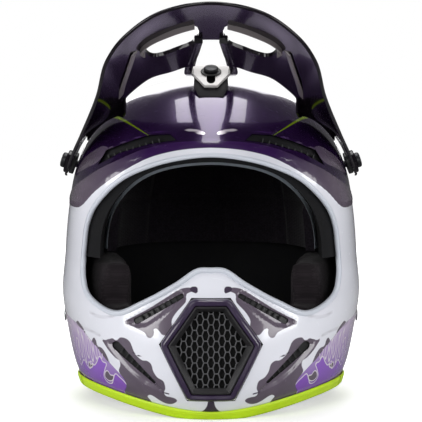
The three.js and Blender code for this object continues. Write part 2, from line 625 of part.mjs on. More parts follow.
// A D-shaped ring of round wire: a straight bar at the left, a round bow at the right.
function dRing(height) {
	const { left, right, halfWidth, bar } = RING;
	const shoulder = lerp(left, right, 0.2);
	const bow = [];
	for (let i = 0; i <= 8; i++) {
		const angle = (-76 + 19 * i) * DEGREE;
		const reach = (right - shoulder) * Math.cos(angle) ** 0.3;
		bow.push(point(shoulder + reach, RIVET.y + Math.sin(angle) * halfWidth, height));
	}
	const corners = [point(left + 1.2, RIVET.y - halfWidth, height), ...bow, point(left + 1.2, RIVET.y + halfWidth, height),
		point(left, RIVET.y + halfWidth - 1.4, height), point(left, RIVET.y, height), point(left, RIVET.y - halfWidth + 1.4, height)];
	const path = new THREE.CatmullRomCurve3(corners, true, 'centripetal');
	const sections = path.getPoints(32).slice(0, -1).map((p, i) => {
		const t = path.getTangent(i / 32);
		const side = point(t.y, -t.x, 0).normalize();
		return Array.from({ length: 6 }, (_, k) => p.clone()
			.addScaledVector(side, Math.cos(k * TURN / 6) * bar)
			.addScaledVector(point(0, 0, 1), Math.sin(k * TURN / 6) * bar));
	});
	return solidOf(new LoftGeometry([...sections, sections[0]]));
}

function makeRings() {
	add('d_ring_lower', dRing(RING.lower), 'steel');
	add('d_ring_upper', dRing(RING.upper), 'steel');
}

makeShell();
makePortBead();
makeTrims();
makeVentInserts();
makeChinVent();
makeLiners();
makeCheekPads();
makeVisor();
makeVisorFixings();
makeStraps();
makeRings();

export default helmet;
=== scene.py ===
"""A motocross helmet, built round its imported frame.

Sizes are in millimetres in the maker's own frame: +X is the wearer's left, the face looks along -Y
and Z is up from the shelf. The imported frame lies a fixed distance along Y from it.
"""

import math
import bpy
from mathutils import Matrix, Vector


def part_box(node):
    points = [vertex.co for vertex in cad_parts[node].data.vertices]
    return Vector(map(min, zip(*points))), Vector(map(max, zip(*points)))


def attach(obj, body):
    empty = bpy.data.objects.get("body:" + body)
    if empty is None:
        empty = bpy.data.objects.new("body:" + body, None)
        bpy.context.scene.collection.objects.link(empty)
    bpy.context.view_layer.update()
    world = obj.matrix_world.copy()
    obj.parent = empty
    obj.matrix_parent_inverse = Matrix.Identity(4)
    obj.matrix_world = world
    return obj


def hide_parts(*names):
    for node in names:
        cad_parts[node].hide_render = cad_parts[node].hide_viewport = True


bl_info = {
    "name": "Motocross Helmet",
    "version": (1, 0, 0),
    "blender": (4, 5, 0),
    "location": "View3D > Sidebar > Helmet",
    "description": "Painted shell, tilting visor, framed chin vent, padded liner and D-ring strap",
    "category": "Add Mesh",
}

from functools import lru_cache

import bmesh
import bpy
import numpy as np
from bpy.props import FloatProperty, FloatVectorProperty, IntProperty, PointerProperty
from mathutils import Matrix, Vector
from mathutils.bvhtree import BVHTree

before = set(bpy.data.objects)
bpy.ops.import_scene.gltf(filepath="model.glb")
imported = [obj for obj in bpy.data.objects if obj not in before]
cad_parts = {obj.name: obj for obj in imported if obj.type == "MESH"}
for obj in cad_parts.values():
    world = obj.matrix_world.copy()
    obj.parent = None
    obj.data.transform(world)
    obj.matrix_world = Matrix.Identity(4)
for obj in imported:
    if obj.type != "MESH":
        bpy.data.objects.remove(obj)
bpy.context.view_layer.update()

# ---------------------------------------------------------------- driving dimensions

MM = 0.001
RIVET = {"y": 5, "z": 66}
rivet_low, rivet_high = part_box("strap_rivet_left")
SHIFT = (rivet_low.y + rivet_high.y) / 2 / MM - RIVET["y"]
TO_PART = Matrix.Scale(MM, 4) @ Matrix.Translation((0, SHIFT, 0))
WELD = 0.002
MM_PER_DEGREE = 2.5  # paint outlines run round the shell by angle, at this many millimetres a degree

# The outer surface: front and back lines as (y, z), side line as (x, y, z), from the rim to the crown.
FRONT_LINE = [(-148, 3), (-160, 24), (-166, 54), (-160, 88), (-145, 117), (-127, 160), (-112, 201),
              (-86, 234), (-48, 259), (16, 268)]
SIDE_LINE = [(109.5, -8, 16), (115, -6, 30), (121, -3, 56), (126, 0, 88), (124, 2, 118), (120.5, 5, 158),
             (113.5, 8, 194), (96, 11, 228), (60, 14, 256), (0, 16, 268)]
BACK_LINE = [(112, 3), (127, 24), (138, 54), (148, 88), (155, 118), (159, 156), (154, 192), (136, 224),
             (92, 254), (16, 268)]
CHIN_POWER, BROW_POWER, BACK_POWER = 1.78, 2.25, 2.2

SHELL_WALL = 4
FOAM = (5.6, 28.5)
SLIP = (31.2, 33.2)
COMFORT = (33.8, 42)
CHIN_FOAM = (5.6, 22)

# Half outlines on the front elevation, (x, z), from the top centre to the bottom centre.
PORT_EDGE = [(0, 201.1), (22.5, 199), (46.9, 193), (71.8, 181.4), (92, 160.9), (98.2, 147.3), (100.5, 132.9),
             (101.8, 104), (97, 91), (76, 81.4), (53.6, 90.9), (27, 105.9), (11, 116.2), (0, 117)]
PORT_CUT = 4
FOAM_LIP = 2.5
LINER_ARCH = [(0, 195), (40, 189.5), (62, 178), (78, 160), (85, 142), (86.5, 112), (80, 60), (0, 50)]
VENT_CORNERS = [(14.7, 94.1), (39.4, 58.6), (18.2, 15.3)]
VENT_LEAN, VENT_MIDDLE = 0.077, 60

# Slots as the two ends of a tapering line, (x, z, width).
CHIN_SLOTS = {"upper": ((57.5, 75.2, 5), (22.5, 95.6, 3.6)), "lower": ((74, 54, 7.5), (44, 28.5, 2.5))}
BROW_VENT = [(32.6, 219.7), (48.6, 219), (64.9, 214.2), (84.9, 206.8), (92, 194.5), (73.2, 204.5),
             (48.5, 211.8), (27, 214.6)]
REAR_SLOT = ((34, 158, 13), (58, 180, 9))
REAR_LOW_SLOT = ((-26, 67.5, 12), (26, 67.5, 12))

VISOR_TIP = [(0, -240, 314), (36.7, -232, 307.7), (63.6, -212, 291.4), (78, -190, 274.7), (88.7, -140, 249),
             (105, -75, 221), (117, -30, 201.5), (124, -5, 186)]
VISOR_REAR = [(0, -91, 276.3), (19, -91, 275.7), (33.6, -88, 270.8), (53.3, -80, 263.3), (69.6, -65, 252),
              (74.6, -55, 244.7), (84, -45, 236), (102.5, -30, 222.5), (110.5, -20, 212.5), (115, -12, 204.5)]
VISOR_THICK, VISOR_BULGE = 2.8, 3
VISOR_WINDOW = [(13, -188), (50, -166), (51, -158), (46, -133), (41, -129), (15, -141)]
VISOR_NOTCH = [(-6.5, -151), (6.5, -151), (14, -80), (-14, -80)]
STRUT = [(9.5, -156, 291.5), (13, -120, 283.6), (17, -90, 276.5), (18.5, -66, 271.6), (17.5, -44, 270.6)]
STRUT_SECTION = (6.5, 6.4)

PIVOT = {"y": -5, "z": 194.5, "x": 113.5, "lean": 18}
TONGUE = {"inner": 83.5, "outer": 86, "front": 131, "back": 106, "half": 17.5}
KNOB_ANGLE, KNOB_SEAT = 118, 87.6

STRAP_WIDTH, STRAP_THICK, STRAP_FRONT = 20, 1.6, -5
RING_STRAP_PATH = [(-114.4, 73), (-112, 50), (-104, 30), (-94, 19), (-78, 13), (-50, 11.4), (-30, 10.8),
                   (-19, 10.8)]
TAIL_STRAP_PATH = [(114.4, 73), (112, 50), (104, 30), (94, 21.6), (78, 18.4), (50, 17.4), (22, 17.2), (8, 17.2),
                   (2.6, 16.2), (-0.4, 13.6), (-0.8, 10.8), (-0.4, 8), (2.6, 5.4), (8, 4.4), (22, 5), (34, 9.4),
                   (46, 12.4), (58, 12.8)]
RING = {"wire": 1.3, "left": -14, "right": 8, "half": 13.8, "heights": {"lower": 9, "upper": 12.6}}

TRIM_SECTION = [(2.5, -4.2), (2.8, 0), (2.5, 3), (1.9, 4.1), (1, 4.5), (0.4, 3.6), (0.4, -0.5), (-4.6, -0.5),
                (-4.6, 4.6), (-5.2, 5.2), (-6, 5), (-6.4, 4.2), (-6.4, -4.2)]
TRIM_SPLIT, TRIM_GAP = 72, 1.6


def settings():
    return bpy.context.scene.helmet_settings


# ---------------------------------------------------------------- curves and the shell's surface


def spline(points, t, closed=False):
    """Places on a smooth curve through the points, for parameters from 0 to 1."""
    points, t = np.asarray(points, float), np.asarray(t, float)
    if closed:
        around = np.vstack([points[-1:], points, points[:2]])
        place = (t % 1) * len(points)
        first = np.minimum(place.astype(int), len(points) - 1)
    else:
        around = np.vstack([2 * points[0] - points[1], points, 2 * points[-1] - points[-2]])
        place = np.clip(t, 0, 1) * (len(points) - 1)
        first = np.minimum(place.astype(int), len(points) - 2)
    share = (place - first)[..., None]
    a, b, c, d = (around[first + k] for k in range(4))
    ab, bc, cd = (np.maximum(((q - p) ** 2).sum(-1, keepdims=True), 1e-12) ** 0.25
                  for p, q in ((a, b), (b, c), (c, d)))
    leave = ((b - a) / ab - (c - a) / (ab + bc) + (c - b) / bc) * bc
    arrive = ((c - b) / bc - (d - b) / (bc + cd) + (d - c) / cd) * bc
    return b + leave * share + (3 * (c - b) - 2 * leave - arrive) * share**2 + (
        2 * (b - c) + leave + arrive) * share**3


def heading(points, t, step=1e-4):
    """The unit direction of a curve."""
    way = spline(points, np.minimum(t + step, 1)) - spline(points, np.maximum(t - step, 0))
    return way / np.linalg.norm(way, axis=-1, keepdims=True)


def smooth(x, low, high):
    x = np.clip((x - low) / (high - low), 0, 1)
    return x * x * (3 - 2 * x)


RIDGE = [(0, y, z) for y, z in FRONT_LINE + BACK_LINE[-2::-1]]
ARCH = SIDE_LINE + [(-x, y, z) for x, y, z in SIDE_LINE[-2::-1]]


def shell_points(angle, level, depth=0.0):
    """Places a depth under the outer surface. Angle 0 is the front; level 0 is the rim and 1 the crown."""
    angle, level, depth = np.broadcast_arrays(np.asarray(angle, float), level, depth)
    ahead = np.cos(angle) > 0
    on_ridge = np.where(ahead, level / 2, 1 - level / 2)
    way = heading(RIDGE, on_ridge)
    middle = spline(RIDGE, on_ridge) + np.stack([0 * level, way[..., 2], -way[..., 1]], -1) * depth[..., None]
    way = heading(ARCH, level / 2)
    inward = np.stack([-way[..., 2], 0 * level, way[..., 0]], -1)
    inward /= np.linalg.norm(inward, axis=-1, keepdims=True)
    side = spline(ARCH, level / 2) + inward * depth[..., None]
    power = np.where(ahead, CHIN_POWER + (BROW_POWER - CHIN_POWER) * smooth(level, 0.4, 0.65), BACK_POWER)
    along = np.abs(np.cos(angle)) ** (2 / power)
    across = np.sign(np.sin(angle)) * np.abs(np.sin(angle)) ** (2 / power)
    return np.stack([
        side[..., 0] * across,
        side[..., 1] + (middle[..., 1] - side[..., 1]) * along,
        side[..., 2] + (middle[..., 2] - side[..., 2]) * np.cos(angle) ** np.where(ahead, 4, 2),
    ], -1)


def whole(half):
    """Half an outline and its mirror image."""
    return list(half) + [(-x, z) for x, z in reversed(half) if x > 0]


def rounded(outline, per_point=5):
    """A closed outline with smooth corners."""
    count = len(outline) * per_point
    return spline(outline, np.arange(count) / count, closed=True)


def spread(outline, distance):
    """A clockwise outline moved outwards."""
    points = np.asarray(outline, float)
    before, after = points - np.roll(points, 1, 0), np.roll(points, -1, 0) - points
    before /= np.linalg.norm(before, axis=1, keepdims=True)
    after /= np.linalg.norm(after, axis=1, keepdims=True)
    corner = before + after
    corner /= np.linalg.norm(corner, axis=1, keepdims=True)
    reach = distance / np.maximum(0.5, (corner * before).sum(1))
    return points + np.stack([-corner[:, 1], corner[:, 0]], 1) * reach[:, None]


def slot_outline(ends, margin=0, steps=10):
    """A tapering slot with round ends, clockwise."""
    (x0, z0, w0), (x1, z1, w1) = ends
    turn = math.atan2(z1 - z0, x1 - x0)
    outline = []
    for x, z, width, start in ((x0, z0, w0, turn + math.pi * 1.5), (x1, z1, w1, turn + math.pi * 0.5)):
        for k in range(steps + 1):
            angle = start - math.pi * k / steps
            reach = width / 2 + margin
            outline.append((x + math.cos(angle) * reach, z + math.sin(angle) * reach))
    return outline


# ---------------------------------------------------------------- mesh tools


def shape_grid(columns, rows, place):
    """A grid with a UV map from 0 to 1, put in place by a formula, with edges that meet joined."""
    bm = bmesh.new()
    bm.loops.layers.uv.new("UVMap")
    middle = Matrix.Translation((0.5, 0.5, 0))
    bmesh.ops.create_grid(bm, x_segments=columns, y_segments=rows, size=0.5, matrix=middle, calc_uvs=True)
    corners = np.array([v.co[:2] for v in bm.verts])
    for vertex, spot in zip(bm.verts, place(corners[:, 0], corners[:, 1])):
        vertex.co = spot
    bmesh.ops.remove_doubles(bm, verts=bm.verts, dist=WELD)
    return bm


def close_up(bm):
    """Fills open ends and turns every face outwards."""
    bmesh.ops.holes_fill(bm, edges=[e for e in bm.edges if e.is_boundary])
    bmesh.ops.recalc_face_normals(bm, faces=bm.faces)
    return bm


def join_walls(outer, inner):
    """Two open skins with matching rims, made one closed wall."""
    take_in(outer, inner)
    rims = [e for e in outer.edges if e.is_boundary]
    bmesh.ops.bridge_loops(outer, edges=rims)
    bmesh.ops.recalc_face_normals(outer, faces=outer.faces)
    return outer


def take_in(bm, *others):
    """Adds other meshes to one."""
    for other in others:
        mesh = bpy.data.meshes.new("part")
        other.to_mesh(mesh)
        other.free()
        bm.from_mesh(mesh)
        bpy.data.meshes.remove(mesh)
    return bm


def both_sides(bm):
    """A mesh and its mirror image across the middle plane."""
    copied = bm.copy()
    bmesh.ops.scale(copied, vec=(-1, 1, 1), verts=copied.verts)
    bmesh.ops.reverse_faces(copied, faces=copied.faces)
    return take_in(bm, copied)


PLANES = {
    "front": lambda a, b, along: Vector((a, along, b)),
    "plan": lambda a, b, along: Vector((a, b, along)),
    "side": lambda a, b, along: Vector((along, a, b)),
}


def prism(outline, start, end, plane="front"):
    """An outline made a solid from start to end across its plane."""
    put = PLANES[plane]
    bm = bmesh.new()
    face = bm.faces.new([bm.verts.new(put(a, b, start)) for a, b in outline])
    grown = bmesh.ops.extrude_face_region(bm, geom=[face])
    moved = [v for v in grown["geom"] if isinstance(v, bmesh.types.BMVert)]
    bmesh.ops.translate(bm, verts=moved, vec=put(0, 0, end - start))
    bmesh.ops.recalc_face_normals(bm, faces=bm.faces)
    return bm


def turned(profile, origin, axis, steps=48):
    """A profile of (radius, height) spun about an axis."""
    bm = bmesh.new()
    ring = [bm.verts.new((r, 0, h)) for r, h in profile]
    edges = [bm.edges.new(pair) for pair in zip(ring, ring[1:])]
    bmesh.ops.spin(bm, geom=ring + edges, cent=(0, 0, 0), axis=(0, 0, 1), angle=math.tau, steps=steps,
                   use_merge=True)
    bmesh.ops.remove_doubles(bm, verts=bm.verts, dist=WELD)
    bmesh.ops.recalc_face_normals(bm, faces=bm.faces)
    turn = Vector((0, 0, 1)).rotation_difference(Vector(axis)).to_matrix().to_4x4()
    bmesh.ops.transform(bm, matrix=Matrix.Translation(origin) @ turn, verts=bm.verts)
    return bm


def temporary(name, bm):
    mesh = bpy.data.meshes.new(name)
    bm.to_mesh(mesh)
    bm.free()
    made = bpy.data.objects.new(name, mesh)
    bpy.context.scene.collection.objects.link(made)
    return made


def carve(bm, *cutters, operation="DIFFERENCE"):
    """A mesh with each cutter taken out of it, or kept only inside the cutter."""
    body = temporary("carved", bm)
    tools = [temporary("cutter", cutter) for cutter in cutters]
    for tool in tools:
        step = body.modifiers.new("cut", "BOOLEAN")
        step.operation, step.solver, step.object = operation, "MANIFOLD", tool
    result = bmesh.new()
    result.from_object(body, bpy.context.evaluated_depsgraph_get())
    for used in (body, *tools):
        mesh = used.data
        bpy.data.objects.remove(used)
        bpy.data.meshes.remove(mesh)
    if not result.faces:
        raise RuntimeError("a cut left nothing")
    return result


def soften(bm, width, segments=2, angle=40):
    """Rounds every edge sharper than an angle."""
    sharp = [e for e in bm.edges if e.is_manifold and e.calc_face_angle(0) > math.radians(angle)]
    bmesh.ops.bevel(bm, geom=sharp, offset=width, affect="EDGES", segments=segments, profile=0.5,
                    material=-1, clamp_overlap=True)
    return bm


def add_piece(name, bm, materials, body, replaces=(), sharp=35):
    """Makes a finished piece from a mesh in the maker's frame."""
    mesh = bpy.data.meshes.new(name)
    bm.to_mesh(mesh)
    bm.free()
    mesh.transform(TO_PART)
    for material in materials:
        mesh.materials.append(material)
    mesh.shade_smooth()
    mesh.set_sharp_from_angle(angle=math.radians(sharp))
    piece = bpy.data.objects.new(name, mesh)
    bpy.context.scene.collection.objects.link(piece)
    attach(piece, body)
    if replaces:
        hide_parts(*replaces)
    return piece


def corners_of(piece):
    """A piece's corners in the maker's frame."""
    places = np.zeros(len(piece.data.vertices) * 3, np.float32)
    piece.data.vertices.foreach_get("co", places)
    return places.reshape(-1, 3) / MM - (0, SHIFT, 0)


@lru_cache(maxsize=None)
def outer_surface():
    """The bare outer surface, to measure against."""
    bm = shape_grid(200, 90, lambda u, v: shell_points(u * math.tau, v**1.2))
    tree = BVHTree.FromBMesh(bm)
    bm.free()
    return tree


def front_of(x, z):
    """Where the shell's front stands, at a place on the front elevation."""
    hit = outer_surface().ray_cast(Vector((x, -400, z)), Vector((0, 1, 0)))[0]
    return hit.y if hit else 0.0


def unrolled(places):
    """Distance round from the front, without its sign, and height, for paint outlines."""
    around = np.degrees(np.arctan2(np.abs(places[:, 0]), -places[:, 1])) * MM_PER_DEGREE
    return np.stack([around, places[:, 2]], 1)


def depth_inside(places, outline):
    """How far each place lies inside an outline: negative outside it."""
    outline = np.asarray(outline, float)
    nearest = np.full(len(places), 1e9)
    inside = np.zeros(len(places), bool)
    for start, end in zip(outline, np.roll(outline, -1, 0)):
        nearest = np.minimum(nearest, off_line(places, start, end))
        low, high = (start, end) if start[1] < end[1] else (end, start)
        spans = (places[:, 1] >= low[1]) & (places[:, 1] < high[1])
        if low[1] != high[1]:
            share = (places[:, 1] - low[1]) / (high[1] - low[1])
            inside ^= spans & (low[0] + share * (high[0] - low[0]) > places[:, 0])
    return np.where(inside, nearest, -nearest)


def off_line(places, start, end):
    """Distance from a straight line's nearest point."""
    way = end - start
    share = np.clip((places - start) @ way / max(way @ way, 1e-9), 0, 1)
    return np.linalg.norm(places - start - share[:, None] * way, axis=1)


def widest(places, outlines, corners_round=True):
    """The depth inside whichever of several outlines a place is deepest in."""
    made = np.full(len(places), -50.0)
    for outline in outlines:
        edge = rounded(outline, 4) if corners_round else np.asarray(outline, float)
        low, high = edge.min(0) - 6, edge.max(0) + 6
        near = ((places > low) & (places < high)).all(1)
        made[near] = np.maximum(made[near], depth_inside(places[near], edge))
    return made


def stroke(places, lines, width):
    """The depth inside painted lines of a width."""
    made = np.full(len(places), -50.0)
    for line in lines:
        run = spline(line, np.linspace(0, 1, len(line) * 4))
        for start, end in zip(run, run[1:]):
            made = np.maximum(made, width / 2 - off_line(places, start, end))
    return made


# ---------------------------------------------------------------- shader tools


def add_node(tree, kind, inputs=None, **fields):
    """A node with its fields set, and its inputs set or joined."""
    node = tree.nodes.new("ShaderNode" + kind)
    for field, value in fields.items():
        setattr(node, field, value)
    for key, value in (inputs or {}).items():
        if isinstance(value, bpy.types.NodeSocket):
            tree.links.new(value, node.inputs[key])
        else:
            node.inputs[key].default_value = value
    return node


def rgba(colour):
    return (*colour[:3], 1)


def mix(tree, factor, first, second):
    """One colour over another."""
    values = [rgba(c) if not isinstance(c, bpy.types.NodeSocket) else c for c in (first, second)]
    return add_node(tree, "Mix", {0: factor, 6: values[0], 7: values[1]}, data_type="RGBA").outputs[2]


def ramp(tree, value, low, high, start=0.0, end=1.0):
    return add_node(tree, "MapRange", {"Value": value, "From Min": low, "From Max": high, "To Min": start,
                                       "To Max": end}).outputs["Result"]


def new_material(name, colour, roughness, **sockets):
    """A material with a Principled shader; plain values go on the shader's own sockets."""
    material = bpy.data.materials.new(name)
    material.use_nodes = True
    tree = material.node_tree
    shader = tree.nodes["Principled BSDF"]
    shader.inputs["Base Color"].default_value = rgba(colour)
    shader.inputs["Roughness"].default_value = roughness
    for key, value in sockets.items():
        shader.inputs[key.replace("_", " ")].default_value = value
    return material, tree, shader


def new_group(name, inputs, outputs):
    """An empty node group with named float inputs and named outputs."""
    tree = bpy.data.node_groups.new(name, "ShaderNodeTree")
    for label, value in inputs.items():
        socket = tree.interface.new_socket(label, in_out="INPUT", socket_type="NodeSocketFloat")
        socket.default_value = value
    for label, kind in outputs.items():
        tree.interface.new_socket(label, in_out="OUTPUT", socket_type="NodeSocket" + kind)
    return tree, tree.nodes.new("NodeGroupInput"), tree.nodes.new("NodeGroupOutput")


def use_group(tree, made, **inputs):
    node = tree.nodes.new("ShaderNodeGroup")
    node.node_tree = made
    for key, value in inputs.items():
        if isinstance(value, bpy.types.NodeSocket):
            tree.links.new(value, node.inputs[key])
        else:
            node.inputs[key].default_value = value
    return node


@lru_cache(maxsize=None)
def grain_group():
    """Fine moulded grain: a roughness that wanders and a leathery bump."""
    tree, given, out = new_group("moulded_grain", {"Size": 0.8, "Relief": 0.2, "Roughness": 0.5, "Wander": 0.1},
                                 {"Roughness": "Float", "Normal": "Vector"})
    place = add_node(tree, "TexCoord").outputs["Object"]
    per_metre = add_node(tree, "Math", {0: 1000.0, 1: given.outputs["Size"]}, operation="DIVIDE").outputs[0]
    cells = add_node(tree, "TexVoronoi", {"Vector": place, "Scale": per_metre}, feature="SMOOTH_F1")
    haze = add_node(tree, "TexNoise", {"Vector": place, "Scale": 60.0, "Detail": 4.0})
    centred = add_node(tree, "Math", {0: haze.outputs["Fac"], 1: 0.5}, operation="SUBTRACT").outputs[0]
    swing = add_node(tree, "Math", {0: centred, 1: given.outputs["Wander"]}, operation="MULTIPLY").outputs[0]
    rough = add_node(tree, "Math", {0: given.outputs["Roughness"], 1: swing}, operation="ADD", use_clamp=True)
    bump = add_node(tree, "Bump", {"Strength": given.outputs["Relief"], "Distance": 0.0002,
                                   "Height": cells.outputs["Distance"]})
    tree.links.new(rough.outputs[0], out.inputs["Roughness"])
    tree.links.new(bump.outputs["Normal"], out.inputs["Normal"])
    return tree


@lru_cache(maxsize=None)
def gloss_group():
    """Lacquer: a faint orange peel, light haze, dust and hairline scratches in the roughness."""
    tree, given, out = new_group("lacquer", {"Roughness": 0.12, "Haze": 0.08, "Peel": 0.03},
                                 {"Roughness": "Float", "Normal": "Vector"})
    place = add_node(tree, "TexCoord").outputs["Object"]
    haze = add_node(tree, "TexNoise", {"Vector": place, "Scale": 25.0, "Detail": 6.0, "Roughness": 0.65})
    stretched = add_node(tree, "Mapping", {"Vector": place, "Scale": (40.0, 900.0, 260.0),
                                           "Rotation": (0.5, 0.3, 0.9)}).outputs[0]
    hairs = add_node(tree, "TexNoise", {"Vector": stretched, "Scale": 1.0, "Detail": 2.0})
    scratch = ramp(tree, hairs.outputs["Fac"], 0.66, 0.74)
    dull = add_node(tree, "Math", {0: haze.outputs["Fac"], 1: scratch}, operation="ADD").outputs[0]
    swing = add_node(tree, "Math", {0: dull, 1: given.outputs["Haze"]}, operation="MULTIPLY").outputs[0]
    rough = add_node(tree, "Math", {0: given.outputs["Roughness"], 1: swing}, operation="ADD", use_clamp=True)
    peel = add_node(tree, "TexNoise", {"Vector": place, "Scale": 350.0, "Detail": 1.0})
    bump = add_node(tree, "Bump", {"Strength": given.outputs["Peel"], "Distance": 0.0003,
                                   "Height": peel.outputs["Fac"]})
    tree.links.new(rough.outputs[0], out.inputs["Roughness"])
    tree.links.new(bump.outputs["Normal"], out.inputs["Normal"])
    return tree


@lru_cache(maxsize=None)
def weave_group():
    """Plain weave over two coordinates in threads: a mask of raised threads and a colour shift."""
    tree, given, out = new_group("plain_weave", {"Across": 0.0, "Along": 0.0}, {"Height": "Float", "Fleck": "Float"})
    waves = []
    for label, phase in (("Across", 0.0), ("Along", 0.5)):
        turned_by = add_node(tree, "Math", {0: given.outputs[label], 1: math.pi}, operation="MULTIPLY").outputs[0]
        wave = add_node(tree, "Math", {0: turned_by}, operation="SINE").outputs[0]
        waves.append(add_node(tree, "Math", {0: wave}, operation="ABSOLUTE").outputs[0])
    cells = [add_node(tree, "Math", {0: given.outputs[label]}, operation="FLOOR").outputs[0]
             for label in ("Across", "Along")]
    total = add_node(tree, "Math", {0: cells[0], 1: cells[1]}, operation="ADD").outputs[0]
    over = add_node(tree, "Math", {0: total, 1: 2.0}, operation="FLOORED_MODULO").outputs[0]
    height = add_node(tree, "Mix", {0: over, 2: waves[0], 3: waves[1]}).outputs[0]
    spots = add_node(tree, "CombineXYZ", {0: cells[0], 1: cells[1]}).outputs[0]
    fleck = add_node(tree, "TexWhiteNoise", {"Vector": spots}, noise_dimensions="2D").outputs["Value"]
    tree.links.new(height, out.inputs["Height"])
    tree.links.new(fleck, out.inputs["Fleck"])
    return tree


def gloss_finish(tree, shader, roughness, haze=0.08, peel=0.03):
    lacquer = use_group(tree, gloss_group(), Roughness=roughness, Haze=haze, Peel=peel)
    tree.links.new(lacquer.outputs["Roughness"], shader.inputs["Roughness"])
    tree.links.new(lacquer.outputs["Normal"], shader.inputs["Normal"])


def grain_finish(tree, shader, roughness, size=0.8, relief=0.2, wander=0.15):
    grain = use_group(tree, grain_group(), Roughness=roughness, Size=size, Relief=relief, Wander=wander)
    tree.links.new(grain.outputs["Roughness"], shader.inputs["Roughness"])
    tree.links.new(grain.outputs["Normal"], shader.inputs["Normal"])


def weave_finish(tree, shader, colour, across, along, depth=0.0003):
    """Weave in the colour and the bump, from two coordinates counted in threads."""
    weave = use_group(tree, weave_group(), Across=across, Along=along)
    bump = add_node(tree, "Bump", {"Strength": 0.6, "Distance": depth, "Height": weave.outputs["Height"]})
    shade = add_node(tree, "Math", {0: weave.outputs["Fleck"], 1: weave.outputs["Height"]}, operation="MULTIPLY")
    lighter = [min(1, c * 2.2 + 0.004) for c in colour]
    tree.links.new(mix(tree, shade.outputs[0], colour, lighter), shader.inputs["Base Color"])
    tree.links.new(bump.outputs["Normal"], shader.inputs["Normal"])


# ---------------------------------------------------------------- materials


def attribute(tree, name):
    return add_node(tree, "Attribute", attribute_name=f"paint_{name}").outputs["Fac"]


def painted(tree, name, soft=0.25):
    """A crisp mask from a stored depth inside a painted outline, in millimetres."""
    return ramp(tree, attribute(tree, name), -soft, soft)


def outlined(tree, name, inside, half=0.42):
    """A mask of the thin line round a painted outline, only inside another mask."""
    distance = add_node(tree, "Math", {0: attribute(tree, name)}, operation="ABSOLUTE").outputs[0]
    line = ramp(tree, distance, half + 0.2, half - 0.2)
    return add_node(tree, "Math", {0: line, 1: inside}, operation="MULTIPLY").outputs[0]


def math_node(tree, operation, *values):
    return add_node(tree, "Math", dict(enumerate(values)), operation=operation).outputs[0]


def swoosh(tree, height, start=66.0, length=110.0):
    """A thin stroke that rises round the brow and widens: height over the way round is a parabola."""
    share = ramp(tree, attribute(tree, "around"), start, start + length)
    rise = math_node(tree, "MULTIPLY_ADD", share, -0.0183, 0.0363)
    middle = math_node(tree, "MULTIPLY_ADD", rise, share, 0.2163)
    off = math_node(tree, "ABSOLUTE", math_node(tree, "SUBTRACT", height, middle))
    half = math_node(tree, "MULTIPLY", math_node(tree, "SQRT", share), 0.0013)
    near = ramp(tree, math_node(tree, "SUBTRACT", half, off), 0.0, 0.0004)
    ends = math_node(tree, "COMPARE", share, 0.5, 0.495)
    return math_node(tree, "MULTIPLY", near, ends)


@lru_cache(maxsize=None)
def shell_paint():
    colours = settings()
    material, tree, shader = new_material("shell_paint", colours.crown, 0.2, Coat_Weight=0.9, Coat_Roughness=0.015)
    place = add_node(tree, "SeparateXYZ", {0: add_node(tree, "TexCoord").outputs["Object"]})
    height = place.outputs["Z"]
    drift = add_node(tree, "TexNoise", {"Scale": 14.0, "Detail": 3.0}).outputs["Fac"]
    crown = mix(tree, ramp(tree, drift, 0.35, 0.75, 0.0, 0.5), colours.crown, [c * 1.8 for c in colours.crown])
    white = mix(tree, ramp(tree, drift, 0.4, 0.7, 0.0, 0.4), colours.white, [c * 0.96 for c in colours.white])
    field = mix(tree, ramp(tree, height, 0.02, 0.06), colours.flame, colours.lilac)
    field = mix(tree, ramp(tree, height, 0.055, 0.085), field, colours.blush)
    flame = mix(tree, ramp(tree, height, 0.008, 0.04), colours.flame, [c * 1.35 for c in colours.flame])
    plum = mix(tree, ramp(tree, drift, 0.35, 0.7), colours.plum, [c * 0.8 for c in colours.plum])
    sideways = math_node(tree, "ABSOLUTE", place.outputs["X"])
    brow = math_node(tree, "MULTIPLY", ramp(tree, sideways, 0.1, 0.05), ramp(tree, height, 0.14, 0.18))
    plum = mix(tree, brow, plum, [c * 1.4 for c in colours.crown])
    # The plum layer includes the painted highlight along the top edge of each brow vent.
    layers = [("white", white), ("flame_field", field), ("flame", flame), ("plum", plum), ("dark", colours.dark),
              ("tear", colours.plum), ("stroke", colours.line)]
    colour = crown
    for name, over in layers:
        colour = mix(tree, painted(tree, name), colour, over)
    colour = mix(tree, swoosh(tree, height), colour, [c * 0.5 for c in colours.lime])
    inside = painted(tree, "flame_field")
    for name in ("flame", "tear", "lick"):
        colour = mix(tree, outlined(tree, name, inside), colour, colours.line)
    # Painted shade: the paint is darkened towards plum along the creases under the port and on the cheek.
    crease_shade = add_node(tree, "Math", {0: ramp(tree, attribute(tree, "crease"), -0.5, 1.2), 1: 0.35},
                    operation="MULTIPLY").outputs[0]
    colour = mix(tree, crease_shade, colour, colours.plum)
    tree.links.new(colour, shader.inputs["Base Color"])
    covered = math_node(tree, "MAXIMUM", painted(tree, "white"), painted(tree, "plum"))
    covered = math_node(tree, "MAXIMUM", covered, inside)
    tree.links.new(ramp(tree, covered, 0.0, 1.0, 0.5, 0.0), shader.inputs["Metallic"])
    gloss_finish(tree, shader, 0.2, haze=0.06)
    return material


@lru_cache(maxsize=None)
def shell_inside():
    material, tree, shader = new_material("shell_inside", (0.02, 0.02, 0.022), 0.7)
    grain_finish(tree, shader, 0.7, size=2.5, relief=0.5)
    return material


@lru_cache(maxsize=None)
def visor_gloss():
    colours = settings()
    material, tree, shader = new_material("visor_gloss", colours.visor, 0.1, Coat_Weight=0.3, Coat_Roughness=0.03,
                                          Specular_IOR_Level=0.25)
    gloss_finish(tree, shader, 0.09, haze=0.06)
    return material


